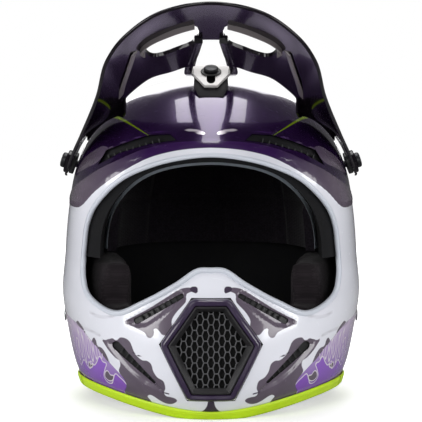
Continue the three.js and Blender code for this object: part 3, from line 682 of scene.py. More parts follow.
@lru_cache(maxsize=None)
def visor_lining():
    """The paler inner walls of the visor's air inlets."""
    material, tree, shader = new_material("visor_lining", (0.17, 0.15, 0.155), 0.35)
    grain_finish(tree, shader, 0.35, size=1.2, relief=0.12)
    return material


@lru_cache(maxsize=None)
def strut_black():
    material, tree, shader = new_material("strut_black", (0.004, 0.003, 0.005), 0.2, Specular_IOR_Level=0.35)
    gloss_finish(tree, shader, 0.15, haze=0.1)
    return material


@lru_cache(maxsize=None)
def plate_grey():
    material, tree, shader = new_material("plate_grey", (0.62, 0.6, 0.59), 0.3)
    grain_finish(tree, shader, 0.3, size=0.8, relief=0.08)
    return material


@lru_cache(maxsize=None)
def bezel_gloss():
    material, tree, shader = new_material("bezel_gloss", settings().bezel, 0.25, Coat_Weight=0.7,
                                          Coat_Roughness=0.08)
    gloss_finish(tree, shader, 0.28, haze=0.12, peel=0.05)
    return material


@lru_cache(maxsize=None)
def throat_grey():
    material, tree, shader = new_material("throat_grey", (0.022, 0.021, 0.023), 0.55)
    grain_finish(tree, shader, 0.52, size=0.7, relief=0.3)
    return material


@lru_cache(maxsize=None)
def grille_grey():
    material, tree, shader = new_material("grille_grey", (0.085, 0.085, 0.092), 0.45)
    grain_finish(tree, shader, 0.45, size=0.6, relief=0.2)
    return material


@lru_cache(maxsize=None)
def black_plastic():
    material, tree, shader = new_material("black_plastic", (0.012, 0.012, 0.013), 0.5)
    grain_finish(tree, shader, 0.48, size=0.7, relief=0.35)
    return material


@lru_cache(maxsize=None)
def dull_black():
    material, tree, shader = new_material("dull_black", (0.008, 0.007, 0.009), 0.6, Specular_IOR_Level=0.15)
    grain_finish(tree, shader, 0.6, size=0.9, relief=0.3)
    return material


@lru_cache(maxsize=None)
def lime_rubber():
    material, tree, shader = new_material("lime_rubber", settings().lime, 0.5)
    place = add_node(tree, "TexCoord").outputs["Object"]
    drift = add_node(tree, "TexNoise", {"Vector": place, "Scale": 30.0, "Detail": 5.0}).outputs["Fac"]
    scuffed = [c * 0.8 for c in settings().lime]
    tree.links.new(mix(tree, ramp(tree, drift, 0.45, 0.75, 0.0, 0.6), settings().lime, scuffed),
                   shader.inputs["Base Color"])
    grain_finish(tree, shader, 0.45, size=0.7, relief=0.15)
    return material


@lru_cache(maxsize=None)
def port_rubber():
    material, tree, shader = new_material("port_rubber", (0.60, 0.63, 0.70), 0.4)
    grain_finish(tree, shader, 0.35, size=0.6, relief=0.06)
    return material


@lru_cache(maxsize=None)
def bead_foam():
    material, tree, shader = new_material("bead_foam", (0.005, 0.005, 0.006), 0.85, Specular_IOR_Level=0.25)
    grain_finish(tree, shader, 0.85, size=3.2, relief=0.9)
    return material


@lru_cache(maxsize=None)
def filter_foam():
    material, tree, shader = new_material("filter_foam", (0.006, 0.006, 0.006), 0.95)
    grain_finish(tree, shader, 0.95, size=1.1, relief=1.0)
    return material


@lru_cache(maxsize=None)
def slip_sheet():
    material, tree, shader = new_material("slip_sheet", (0.5, 0.56, 0.63), 0.35)
    grain_finish(tree, shader, 0.35, size=1.5, relief=0.05)
    return material


def threads(tree, axis_a, axis_b, pitch):
    """Two object coordinates counted in threads of a pitch in millimetres."""
    place = add_node(tree, "SeparateXYZ", {0: add_node(tree, "TexCoord").outputs["Object"]})
    return [add_node(tree, "Math", {0: place.outputs[axis], 1: 1 / (pitch * MM)}, operation="MULTIPLY").outputs[0]
            for axis in (axis_a, axis_b)]


def liner_cloth(name, colour, pitch, axes):
    material, tree, shader = new_material(name, colour, 0.95, Sheen_Weight=0.06, Sheen_Roughness=0.5,
                                          Specular_IOR_Level=0.25)
    across, along = threads(tree, *axes, pitch)
    weave_finish(tree, shader, colour, across, along)
    return material


@lru_cache(maxsize=None)
def pad_cloth():
    return liner_cloth("pad_cloth", (0.011, 0.008, 0.010), 1.1, "YZ")


@lru_cache(maxsize=None)
def liner_mesh_cloth():
    return liner_cloth("liner_mesh_cloth", (0.006, 0.004, 0.007), 1.4, "XZ")


@lru_cache(maxsize=None)
def roll_cloth():
    return liner_cloth("roll_cloth", (0.008, 0.007, 0.008), 1.1, "XZ")


@lru_cache(maxsize=None)
def webbing():
    colour = (0.012, 0.012, 0.013)
    material, tree, shader = new_material("webbing", colour, 0.8, Sheen_Weight=0.15)
    flat = add_node(tree, "SeparateXYZ", {0: add_node(tree, "UVMap", uv_map="UVMap").outputs[0]})
    along = add_node(tree, "Math", {0: flat.outputs["X"], 1: 150.0}, operation="MULTIPLY").outputs[0]
    across = add_node(tree, "Math", {0: flat.outputs["Y"], 1: 36.0}, operation="MULTIPLY").outputs[0]
    weave_finish(tree, shader, colour, across, along, depth=0.0005)
    return material


@lru_cache(maxsize=None)
def ring_steel():
    material, tree, shader = new_material("ring_steel", (0.62, 0.63, 0.65), 0.25, Metallic=1.0)
    gloss_finish(tree, shader, 0.22, haze=0.25, peel=0.05)
    return material


@lru_cache(maxsize=None)
def bolt_black():
    material, tree, shader = new_material("bolt_black", (0.02, 0.02, 0.023), 0.38, Metallic=0.6)
    grain_finish(tree, shader, 0.38, size=0.5, relief=0.15)
    return material


# ---------------------------------------------------------------- shell and its paint

WHITE_FIELD = [(-20, 209), (0, 209), (24, 208), (44, 205.5), (64, 201), (83, 193.5), (105, 183), (125, 173.5),
               (150, 161), (178, 160), (205, 162), (235, 158), (270, 148), (305, 134), (335, 117), (305, 108),
               (270, 94), (240, 83), (209, 72), (168, 68), (137, 63), (120, 56), (104, 49), (92, 41), (81, 34),
               (72, 27), (72, 22), (60, 10), (40, -6), (-20, -6)]
PLUM_BAND = [(-20, 209), (0, 209), (24, 208), (44, 205.5), (64, 201), (83, 193.5), (105, 183), (125, 173.5),
             (150, 161), (178, 160), (205, 162), (216, 166), (206, 171), (178, 177), (149, 184), (124, 192),
             (99, 199.7), (78, 206.5), (56, 211), (32, 213.7), (0, 214), (-20, 214)]
FLAME_FIELD = [(335, 117), (305, 108), (270, 94), (240, 83), (209, 72), (168, 68), (137, 63), (120, 56), (104, 49),
               (92, 41), (81, 34), (72.5, 27), (72, 22), (77, 17), (72, -8), (345, -8), (352, 60)]
FLAMES = [(72, -8), (77, 16), (71, 21), (73, 25), (79, 29), (83, 31), (88, 26), (92, 22), (100, 22), (103, 26),
          (99, 32), (94, 38), (100, 39), (104, 43), (110, 38), (118, 34), (125, 37), (127, 31), (131, 30),
          (136, 32), (142, 36), (150, 33), (160, 30), (168, 42), (172, 30), (184, 27), (194, 44), (198, 60),
          (203, 40), (212, 30), (226, 36), (236, 54), (238, 40), (250, 30), (266, 44), (274, 70), (279, 46),
          (292, 34), (306, 52), (316, 80), (320, 50), (334, 36), (352, 60), (345, -8)]
UPPER_PANEL = [(69, 73), (57, 79.5), (46, 85.5), (34.5, 93), (23.5, 100.3), (20, 101.6), (15, 102), (12, 100),
               (15, 98.7), (17.6, 97), (17.5, 92), (19.5, 89), (23.3, 84.6), (26, 80.5), (27.4, 77), (27, 73),
               (29, 67), (34, 66), (36.3, 68.5), (39, 70.6), (41, 70), (40.6, 67), (41.8, 64), (44, 63),
               (46.5, 63.8), (48.4, 66.6), (53, 68.5), (59, 70.4)]
LOWER_PANEL = [(98, 58), (92, 57), (89, 58), (86, 58.6), (82, 59.6), (79, 58.4), (76, 58.8), (73, 61), (66, 60.6),
               (62, 58), (60, 54), (58, 50), (56, 48), (51, 45), (47, 45), (43.5, 42.7), (42, 37), (39, 32.5),
               (34.5, 30), (33.4, 27), (33.4, 23.5), (34.8, 20.5), (33.6, 17.8), (29, 17), (26, 16), (25, 14.4),
               (26.5, 12.8), (30, 11.2), (35, 11.3), (40, 13.4), (45, 16.4), (48, 17.2), (51, 15.6), (48, 11),
               (48, -8), (84, -8), (80, 12), (76, 17.2), (72, 22.4), (72.6, 27.4), (78, 33.4), (75, 38.6),
               (75.3, 42), (80, 44), (88, 49), (94, 54)]
EDGE_THORNS = [
    [(209, 72), (203, 74.5), (199, 71.5), (188, 70.8), (180, 68.5), (196, 70)],
    [(150, 66), (144, 68), (139, 66.5), (132, 63), (121, 56), (133, 61)],
    [(115, 54), (110, 57.5), (107, 55), (105.5, 51.5), (98, 50), (93, 46), (89, 39), (98, 44), (106, 49.5)],
]
CHIN_POINT = [(-4, 18), (0, 18), (2, 15), (3.4, 10), (6.5, 6.6), (16, 5.6), (18, 2), (18, -6), (-4, -6)]
CORNER_PATCH = [(15.2, 102.2), (10, 102.6), (9.8, 98), (12.3, 98.5), (14.8, 99.8)]
TEARS = [
    [(98, 31), (94, 32), (91, 29), (86, 29), (88.5, 25.5), (93, 23.8), (98, 24), (101, 26.5)],
    [(129, 36), (125, 34), (118.5, 35.5), (122, 32.5), (127, 31), (131.5, 31.5)],
    [(196, 41), (191, 35), (186, 34), (190, 31), (197, 31), (200, 35)],
    [(268, 45), (262, 37), (258, 36), (262, 32), (270, 33), (273, 38)],
]
LICKS = [
    [(101, 41), (104, 47), (101, 52), (98.5, 47)],
    [(110, 39), (113, 46), (113, 53), (109.5, 58), (108.5, 51), (108, 44)],
    [(118.5, 36), (121, 44), (119.5, 52), (122, 58), (118, 54), (116, 45)],
    [(127, 38), (129.5, 47), (127, 56), (128.5, 62), (124.5, 57), (124, 46)],
    [(136, 33), (139, 43), (136.5, 52), (139.5, 60), (134.5, 55), (133, 43)],
    [(145, 37), (150, 46), (147, 54), (149, 62), (143.5, 56), (142.5, 46)],
    [(156, 33), (160, 45), (156, 53), (150.5, 51), (153, 44)],
    [(172, 42), (178, 52), (174, 63), (169, 54)],
    [(210, 44), (216, 56), (210, 70), (206, 56)],
    [(246, 50), (254, 64), (247, 80), (241, 64)],
    [(286, 60), (296, 74), (290, 92), (282, 76)],
]
WHISKERS = [[(60, 50.5), (55, 48.6), (50.5, 47.2)], [(36, 20.8), (31, 19.6)]]
BROW_STROKE = [(37.5, 224.2), (22, 223.6), (9, 222), (6.5, 220.2), (9, 219.2), (22, 221.2)]
# A painted highlight: a lighter plum line along the top edge of each brow vent.
VENT_EDGE_HIGHLIGHT = [(40, 220.9), (52, 221.2), (71, 220.2), (94, 215.4), (126, 207.6)]
BROW_WEDGE = [(124, 207.5), (138, 210), (154, 206), (178, 198), (188, 187), (172, 189), (150, 193), (134, 197)]
UPPER_RECESS = [(68.5, 73.6), (23, 100.6), (18.4, 97.4), (24, 90), (36, 79), (48, 71), (58, 70.5)]
LOWER_RECESS = [(96, 57.5), (89, 57), (80, 56.5), (62, 47), (50, 36), (36, 22.5), (37, 20.5), (52, 26), (66, 35),
                (80, 46), (90, 54)]
PORT_CREASE = [(116, 77.5), (106, 75.6), (92, 75.4), (80, 77.6), (68, 82)]
CHEEK_CREASE = [(160, 66), (140, 63.5), (118, 62.5), (100, 60)]


def relief_of(flat):
    """How deep the shell's face is sunk at places round it, in millimetres."""
    upper = depth_inside(flat, UPPER_RECESS)
    lower = depth_inside(flat, LOWER_RECESS)
    fade = smooth(flat[:, 0] * 0.5 + flat[:, 1] * 0.87, 78, 92)
    sunk = 2.4 * smooth(upper, -0.2, 2.2) * (0.25 + 0.75 * fade)
    sunk += 2.0 * smooth(lower, -0.2, 2.4)
    sunk += 0.7 * smooth(stroke(flat, [PORT_CREASE], 3.0), 0, 1.5)
    sunk += 0.5 * smooth(stroke(flat, [CHEEK_CREASE], 4.0), 0, 2)
    band = widest(flat, [PLUM_BAND])
    sunk -= 0.8 * smooth(band, -1, 1.5)
    return sunk


def make_shell():
    sizes = settings()
    columns, rows = sizes.shell_columns, sizes.shell_rows

    def angle_of(u):
        return u * math.tau - 0.5 * np.sin(u * math.tau)

    def outside(u, v):
        angle, level = angle_of(u), 0.6 * v + 0.4 * v * v
        flat = unrolled(shell_points(angle, level))
        return shell_points(angle, level, relief_of(flat))

    outer = shape_grid(columns, rows, outside)
    inner = shape_grid(columns, rows // 3, lambda u, v: shell_points(angle_of(u), v, SHELL_WALL))
    walls = join_walls(outer, inner)
    port = spread(rounded(whole(PORT_EDGE), 6), PORT_CUT)
    vent = spread(whole(VENT_CORNERS), 0.5)
    cutters = [prism(port, -300, -14), prism(vent, -220, -120)]
    for ends in CHIN_SLOTS.values():
        cutters.append(both_sides(prism(slot_outline(ends), -300, -60)))
    cutters.append(both_sides(prism(BROW_VENT, -300, -14)))
    cutters.append(both_sides(prism(slot_outline(REAR_SLOT), 60, 260)))
    cutters.append(prism(slot_outline(REAR_LOW_SLOT), 60, 260))
    shell = carve(walls, *cutters)
    surface = outer_surface()
    for face in shell.faces:
        face.material_index = 0 if surface.find_nearest(face.calc_center_median())[3] < 3 else 1
    piece = add_piece("painted_shell", shell, [shell_paint(), shell_inside()], "shell",
                      ["outer_shell"], sharp=30)
    paint_shell(piece)


def paint_shell(piece):
    """Stores how deep each corner lies inside every painted outline."""
    flat = unrolled(corners_of(piece))
    layers = {
        "white": widest(flat, [WHITE_FIELD]),
        "flame_field": widest(flat, [FLAME_FIELD]),
        "flame": widest(flat, [FLAMES]),
        # The plum layer also holds the painted highlight along the top edges of the brow vents.
        "plum": np.maximum(widest(flat, [PLUM_BAND, UPPER_PANEL, LOWER_PANEL, BROW_WEDGE, *EDGE_THORNS]),
                           stroke(flat, [VENT_EDGE_HIGHLIGHT], 1.8)),
        "dark": np.maximum(widest(flat, [CHIN_POINT, CORNER_PATCH]), stroke(flat, WHISKERS, 1.2)),
        "tear": widest(flat, TEARS),
        "lick": widest(flat, LICKS),
        "stroke": widest(flat, [BROW_STROKE]),
        "around": flat[:, 0],
        # Where the painted shade along the creases falls: the depth inside a stroke along each crease.
        "crease": stroke(flat, [PORT_CREASE, CHEEK_CREASE], 2.4),
    }
    for name, depths in layers.items():
        stored = piece.data.attributes.new(f"paint_{name}", "FLOAT", "POINT")
        stored.data.foreach_set("value", depths.astype(np.float32))


def make_port_trim():
    """The pale rubber bead round the eye port, with a lip that covers the cut edge."""
    edge = rounded(whole(PORT_EDGE), 8)
    middle = spread(edge, 2.3)
    outward = spread(edge, 4) - spread(edge, 1)
    outward /= np.linalg.norm(outward, axis=1, keepdims=True)
    fronts = np.array([front_of(x, z) for x, z in spread(edge, 4.5)])
    count = len(edge)

    def place(u, v):
        index = np.round(u * count).astype(int) % count
        angle = v * math.tau
        front, back = fronts[index] - 1.3, fronts[index] + 9
        across = np.sign(np.cos(angle)) * np.abs(np.cos(angle)) ** 0.7 * 2.3
        depth = front + (back - front) * (0.5 - 0.5 * np.sign(np.sin(angle)) * np.abs(np.sin(angle)) ** 0.8)
        where = middle[index] + outward[index] * across[:, None]
        return np.stack([where[:, 0], depth, where[:, 1]], 1)

    bead = shape_grid(count, 16, place)
    bmesh.ops.recalc_face_normals(bead, faces=bead.faces)
    add_piece("port_bead", bead, [port_rubber()], "shell", ["eyeport_gasket"], sharp=60)


def make_rim_trim(name, replaced, start, end, columns):
    """Rubber channel pressed over the rim between two angles in degrees."""
    section = spline(TRIM_SECTION, np.arange(40) / 40, closed=True)

    def place(u, v):
        angle = np.radians(start + (end - start) * u)
        here = shell_points(angle, 0 * u)
        up = shell_points(angle, 0 * u + 0.03) - here
        along = shell_points(angle + 0.01, 0 * u) - shell_points(angle - 0.01, 0 * u)
        up /= np.linalg.norm(up, axis=1, keepdims=True)
        out = np.cross(along, up)
        out /= np.linalg.norm(out, axis=1, keepdims=True)
        out *= np.sign((out[:, :2] * here[:, :2]).sum(1))[:, None]
        index = np.round(v * len(section)).astype(int) % len(section)
        made = here + out * section[index, :1] + up * section[index, 1:]
        made[:, 2] = np.maximum(made[:, 2], 0)
        return made

    trim = close_up(shape_grid(columns, len(section), place))
    add_piece(name, trim, [lime_rubber()], "shell", [replaced], sharp=50)


def inset_panel(outline, depth, wall, start, end):
    """A louvre set into the shell: the outline's prism between two depths under the surface."""
    outer = shape_grid(120, 60, lambda u, v: shell_points(u * math.tau, v**1.1, depth))
    inner = shape_grid(120, 60, lambda u, v: shell_points(u * math.tau, v**1.1, depth + wall))
    return carve(join_walls(outer, inner), prism(outline, start, end), operation="INTERSECT")


def make_vents():
    """Black mesh louvres behind the shell's slots, each with ribs."""
    panels = {
        "chin_vent_upper": (slot_outline(CHIN_SLOTS["upper"], -0.3), -260, -20, CHIN_SLOTS["upper"]),
        "chin_vent_lower": (slot_outline(CHIN_SLOTS["lower"], -0.3), -260, -20, CHIN_SLOTS["lower"]),
        "brow_vent": (spread(BROW_VENT, -0.4), -260, -20, ((36, 216, 4), (88, 200, 4))),
        "rear_vent": (slot_outline(REAR_SLOT, -0.3), 60, 260, REAR_SLOT),
    }
    for name, (outline, start, end, line) in panels.items():
        for side, sign in (("left", 1), ("right", -1)):
            shaped = [(x * sign, z) for x, z in outline]
            panel = inset_panel(shaped, 3.2, 2, start, end)
            take_in(panel, *vent_ribs(line, sign, ahead=start < 0))
            add_piece(f"{name}_louvre_{side}", panel, [black_plastic()], "shell",
                      [f"{name}_{side}"])
    centre = inset_panel(slot_outline(REAR_LOW_SLOT, -0.3), 3.2, 2, 60, 260)
    take_in(centre, *vent_ribs(REAR_LOW_SLOT, 1, ahead=False))
    add_piece("rear_vent_louvre_center", centre, [black_plastic()], "shell", ["rear_vent_center"])


def vent_ribs(line, sign, ahead):
    """Small upright bars across a slot."""
    (x0, z0, w0), (x1, z1, w1) = line
    count = max(4, int(math.hypot(x1 - x0, z1 - z0) / 5))
    ribs = []
    for k in range(1, count):
        share = k / count
        x, z, width = x0 + (x1 - x0) * share, z0 + (z1 - z0) * share, w0 + (w1 - w0) * share
        start = Vector((x * sign, -400 if ahead else 400, z))
        hit = outer_surface().ray_cast(start, Vector((0, 1 if ahead else -1, 0)))[0]
        bar = bmesh.new()
        bmesh.ops.create_cube(bar, size=1)
        bmesh.ops.scale(bar, vec=(0.9, 2.6, width * 0.8), verts=bar.verts)
        turn = Matrix.Rotation(math.atan2(z1 - z0, (x1 - x0) * sign), 4, "Y").inverted()
        middle = Vector((hit.x, hit.y + (2.6 if ahead else -2.6), hit.z))
        bmesh.ops.transform(bar, matrix=Matrix.Translation(middle) @ turn, verts=bar.verts)
        ribs.append(bar)
    return ribs


# ---------------------------------------------------------------- chin vent


def vent_ring(section, per_side=8, corner=2.2):
    """A frame that follows the vent's six sides. Its section is (margin, proud or None, y or None)."""
    corners = np.array(whole(VENT_CORNERS))
    outline = []
    for start, end in zip(corners, np.roll(corners, -1, 0)):
        length = np.linalg.norm(end - start)
        for share in np.linspace(corner / length, 1 - corner / length, per_side):
            outline.append(start + (end - start) * share)
    count = len(outline)
    lines = []
    for margin, proud, flat in section:
        inset = spread(outline, -margin)
        if flat is None:
            lines.append([(x, front_of(x, z) - proud, z) for x, z in inset])
        else:
            lines.append([(x, flat + VENT_LEAN * (z - VENT_MIDDLE), z) for x, z in inset])
    lines = np.array(lines)

    def place(u, v):
        column = np.round(u * count).astype(int) % count
        row = np.round(v * len(lines)).astype(int) % len(lines)
        return lines[row, column]

    ring = shape_grid(count, len(lines), place)
    bmesh.ops.recalc_face_normals(ring, faces=ring.faces)
    return ring


def make_chin_vent():
    bezel = vent_ring([(0, None, -151), (0, -1, None), (0, 2.6, None), (0.5, 3.8, None), (1.6, 5.2, None),
                       (2.6, 5.4, None), (4.6, 4.2, None), (5.1, 3.4, None), (5.2, 2.4, None), (5.2, None, -151)])
    add_piece("vent_frame", bezel, [bezel_gloss()], "shell", ["mouth_vent_bezel"], sharp=28)
    throat = vent_ring([(5.5, None, -154.5), (5.5, 2.6, None), (5.9, 3.2, None), (6.7, 3.3, None), (7.2, 2.6, None),
                        (10.2, None, -156.5), (10.4, None, -154.5)])
    add_piece("vent_throat", throat, [throat_grey()], "shell", ["mouth_vent_funnel"], sharp=28)
    add_piece("vent_grille", honeycomb(), [grille_grey()], "shell", ["mouth_vent_grille"])
    filter_pad = prism(spread(whole(VENT_CORNERS), -5), -149.6, -146)
    lean(filter_pad)
    add_piece("vent_filter", soften(filter_pad, 0.8), [filter_foam()], "shell",
              ["mouth_vent_filter"])


def lean(bm):
    """Tips a mesh back with the chin vent."""
    for vertex in bm.verts:
        vertex.co.y += VENT_LEAN * (vertex.co.z - VENT_MIDDLE)


def honeycomb(column=4.2, row=8.3, web=0.9, thick=2.0, front=-154.2):
    """A plate of tall six-sided cells, bounded by the vent's sides."""
    net = bmesh.new()
    for i in range(-10, 11):
        for j in range(-1, 15):
            x, z = i * column, (j + (0.5 if i % 2 else 0)) * row + 3
            ring = [(x + column * 2 / 3, z), (x + column / 3, z + row / 2), (x - column / 3, z + row / 2),
                    (x - column * 2 / 3, z), (x - column / 3, z - row / 2), (x + column / 3, z - row / 2)]
            net.faces.new([net.verts.new((a, front, b)) for a, b in ring])
    cells = list(net.faces)
    net.normal_update()
    bmesh.ops.inset_individual(net, faces=cells, thickness=web / 2)
    bmesh.ops.delete(net, geom=cells, context="FACES")
    bmesh.ops.remove_doubles(net, verts=net.verts, dist=0.05)
    outline = spread(whole(VENT_CORNERS), -6.2)
    for (x0, z0), (x1, z1) in zip(outline, np.roll(outline, -1, 0)):
        away = Vector((-(z1 - z0), 0, x1 - x0))
        bmesh.ops.bisect_plane(net, geom=[*net.verts, *net.edges, *net.faces], plane_co=(x0, front, z0),
                               plane_no=away, clear_outer=True)
    bmesh.ops.recalc_face_normals(net, faces=net.faces)
    bmesh.ops.solidify(net, geom=net.faces, thickness=thick)
    lean(net)
    bmesh.ops.recalc_face_normals(net, faces=net.faces)
    return net


# ---------------------------------------------------------------- foam, slip layer and pads


def shell_layer(outer_depth, inner_depth, columns=160, rows=80):
    outer = shape_grid(columns, rows, lambda u, v: shell_points(u * math.tau, v**1.1, outer_depth))
    inner = shape_grid(columns, rows, lambda u, v: shell_points(u * math.tau, v**1.1, inner_depth))
    return join_walls(outer, inner)


def block(x0, x1, y0, y1, z0, z1):
    return prism([(x0, z0), (x0, z1), (x1, z1), (x1, z0)], y0, y1)


def port_cutter(margin, end=-14):
    return prism(spread(rounded(whole(PORT_EDGE), 6), margin), -300, end)


def arch_cutter(margin=0, end=-18):
    return prism(spread(rounded(whole(LINER_ARCH), 6), margin), -300, end)


def make_foam():
    foam = carve(shell_layer(*FOAM), block(-200, 200, -300, 60, -50, 120), block(-200, 200, 60, 300, -50, 64),
                 arch_cutter(FOAM_LIP))
    add_piece("foam_shell", foam, [bead_foam()], "shell", ["impact_liner"])
    vent = prism(spread(whole(VENT_CORNERS), 1.5), -240, -100)
    keep = block(-80, 80, -300, -112, 23, 104)
    chin = carve(carve(shell_layer(*CHIN_FOAM), keep, operation="INTERSECT"), vent, port_cutter(PORT_CUT + 0.6))
    add_piece("chin_foam", chin, [bead_foam()], "shell", ["chin_bar_foam"])


def make_slip_layer():
    slip = carve(shell_layer(*SLIP), block(-200, 200, -300, 300, -50, 124), arch_cutter())
    add_piece("slip_shell", slip, [slip_sheet()], "liner", ["slip_layer"])


def make_comfort_liner():
    """Quilted lining: pads with sunk seams between them, on the slip layer."""

    def quilted(u, v):
        angle, level = u * math.tau, v**1.1
        ribs = np.abs(np.sin(angle * 4 + 0.4))
        rows = np.abs(np.sin((level - 0.3) * math.pi / 0.14))
        crowned = np.minimum(smooth(ribs, 0, 0.35), smooth(rows, 0, 0.4))
        return shell_points(angle, level, COMFORT[1] - 3.2 + 3.0 * crowned)

    outer = shape_grid(220, 120, lambda u, v: shell_points(u * math.tau, v**1.1, COMFORT[0]))
    liner = join_walls(outer, shape_grid(220, 120, quilted))
    liner = carve(liner, block(-200, 200, -300, 300, -50, 121.5), arch_cutter())
    piece = add_piece("comfort_lining", liner, [liner_mesh_cloth()], "liner", ["comfort_liner"])


def round_over(piece, voxel=2.6, rounds=14):
    """Turns a cut block of padding into an even net and wears its corners round."""
    remesh = piece.modifiers.new("even", "REMESH")
    remesh.mode, remesh.voxel_size = "VOXEL", voxel * MM
    worn = piece.modifiers.new("worn", "SMOOTH")
    worn.factor, worn.iterations = 0.5, rounds
    bpy.context.view_layer.objects.active = piece
    for name in (remesh.name, worn.name):
        bpy.ops.object.modifier_apply(modifier=name)


def swell(piece, pressure, cap):
    """Puffs a padded piece by a short cloth simulation, no point moving further than the cap."""
    scene = bpy.context.scene
    bpy.context.view_layer.objects.active = piece
    rest = np.array([v.co for v in piece.data.vertices])
    cloth = piece.modifiers.new("puff", "CLOTH")
    cloth.settings.use_pressure = True
    cloth.settings.uniform_pressure_force = pressure
    cloth.settings.effector_weights.gravity = 0
    cloth.settings.tension_stiffness = cloth.settings.compression_stiffness = 20
    for step in range(1, 15):
        scene.frame_set(step)
    bpy.ops.object.modifier_apply(modifier=cloth.name)
    scene.frame_set(1)
    moved = np.array([v.co for v in piece.data.vertices]) - rest
    length = np.linalg.norm(moved, axis=1, keepdims=True)
    kept = rest + moved * np.minimum(1, cap * MM / np.maximum(length, 1e-9))
    piece.data.vertices.foreach_set("co", kept.astype(np.float32).ravel())
    piece.data.update()


PAD_PLAN = [(61, -86), (71, -40), (72, 0), (80, 50), (96, 51), (112, 50), (112, -30), (100, -60), (84, -87)]


def make_cheek_pads():
    for side, sign in (("left", 1), ("right", -1)):
        inside = shape_grid(140, 60, lambda u, v: shell_points(u * math.tau, v**1.1, 19.0))
        pad = close_up(inside)
        plan = prism([(x * sign, y) for x, y in PAD_PLAN], 27.5, 116.5, "plan")
        pad = carve(carve(pad, plan, operation="INTERSECT"), port_cutter(1, -70))
        soften(pad, 3.0, 3, 50)
        piece = add_piece(f"cheek_cushion_{side}", pad, [pad_cloth()], "shell",
                          [f"cheek_pad_{side}"], sharp=60)
        round_over(piece, 2.4, 30)
        swell(piece, 4, 1.2)
        quilt_cheek(piece)


def quilt_cheek(piece):
    """Presses the ribbed panel and its seam into a cheek pad's face."""
    places = corners_of(piece)
    normals = np.zeros(len(places) * 3, np.float32)
    piece.data.vertices.foreach_get("normal", normals)
    normals = normals.reshape(-1, 3)
    ribbed = smooth(places[:, 1], -62, -58) * (1 - smooth(places[:, 1], -22, -18))
    ribbed *= smooth(places[:, 2], 40, 44) * (1 - smooth(places[:, 2], 104, 108))
    ribs = np.abs(np.sin(places[:, 2] * math.pi / 7.5)) ** 0.6
    seam = np.exp(-(((places[:, 1] + 66) / 1.2) ** 2)) + np.exp(-(((places[:, 1] + 14) / 1.2) ** 2))
    facing = smooth(-normals[:, 0] * np.sign(places[:, 0]), 0.1, 0.5)
    sunk = facing * (ribbed * (1 - ribs) * 1.6 + seam * 1.4)
    moved = places - normals * sunk[:, None]
    back = (moved + (0, SHIFT, 0)) * MM
    piece.data.vertices.foreach_set("co", back.astype(np.float32).ravel())
    piece.data.update()


def make_neck_roll():
    roll = carve(shell_layer(7.5, 32.5), block(-200, 200, 63.5, 300, 21.5, 58.5), operation="INTERSECT")
    soften(roll, 5, 3, 50)
    piece = add_piece("neck_cushion", roll, [roll_cloth()], "shell", ["neck_roll"], sharp=60)
    round_over(piece, 3.2, 8)
    swell(piece, 3, 1.2)


# ---------------------------------------------------------------- visor


def across(half):
    return [(-x, y, z) for x, y, z in half[:0:-1]] + list(half)


def visor_points(u, v):
    """The visor's upper face: u from the right arm to the left, v from the free edge to the rear."""
    bulge = VISOR_BULGE * 4 * v * (1 - v) * np.sin(math.pi * u)
    tip, rear = spline(across(VISOR_TIP), u), spline(across(VISOR_REAR), u)
    made = tip + (rear - tip) * v[:, None]
    made[:, 2] += bulge + 1.6 * crease(u, v)
    return made


def crease(u, v):
    """Two soft ridges that run back from the free edge."""
    side = np.abs(u - 0.5)
    return np.exp(-(((side - 0.1 - 0.05 * v) / 0.035) ** 2)) * smooth(v, 0.02, 0.3)


def visor_normals(u, v, step=0.002):
    over = visor_points(np.minimum(u + step, 1), v) - visor_points(np.maximum(u - step, 0), v)
    back = visor_points(u, np.minimum(v + step, 1)) - visor_points(u, np.maximum(v - step, 0))
    normal = np.cross(over, back)
    return normal / np.linalg.norm(normal, axis=1, keepdims=True)


def visor_sheet(columns=200, rows=40):
    """A closed sheet with rounded free edges."""
    edge = 5
    ring = [(k / rows, 0.0) for k in range(rows + 1)]
    ring += [(1.0, math.sin(k / edge * math.pi)) for k in range(1, edge)]
    ring += [(1 - k / rows, -1.0) for k in range(rows + 1)]
    ring += [(0.0, math.sin(k / edge * math.pi)) for k in range(1, edge)]
    kinds = (["top"] * (rows + 1) + ["rear"] * (edge - 1) + ["under"] * (rows + 1) + ["front"] * (edge - 1))
    shares = ([0.0] * (rows + 1) + [k / edge for k in range(1, edge)] + [1.0] * (rows + 1)
              + [1 - k / edge for k in range(1, edge)])
    count = len(ring)

    def place(u, w):
        index = np.round(w * count).astype(int) % count
        v = np.array([ring[i][0] for i in index])
        share = np.array([shares[i] for i in index])
        swing = np.array([ring[i][1] if kinds[i] in ("rear", "front") else 0.0 for i in index])
        spot = visor_points(u, v) - visor_normals(u, v) * VISOR_THICK * share[:, None]
        out = visor_points(u, 0 * v) - visor_points(u, 0 * v + 0.02)
        out /= np.linalg.norm(out, axis=1, keepdims=True)
        ahead = np.array([1.0 if kinds[i] == "front" else -1.0 for i in index])
        return spot + out * (swing * ahead * 0.9)[:, None]

    return close_up(shape_grid(columns, count, place))


def under_visor(x, y):
    """The height of the visor's underside at a place in plan."""
    hit = visor_surface().ray_cast(Vector((x, y, 0)), Vector((0, 0, 1)))[0]
    return hit.z if hit else 250.0


def above_shell(x, y):
    """The height of the shell's top at a place in plan."""
    hit = outer_surface().ray_cast(Vector((x, y, 500)), Vector((0, 0, -1)))[0]
    return hit.z if hit else 0.0


@lru_cache(maxsize=None)
def visor_surface():
    bm = visor_sheet(120, 16)
    tree = BVHTree.FromBMesh(bm)
    bm.free()
    return tree


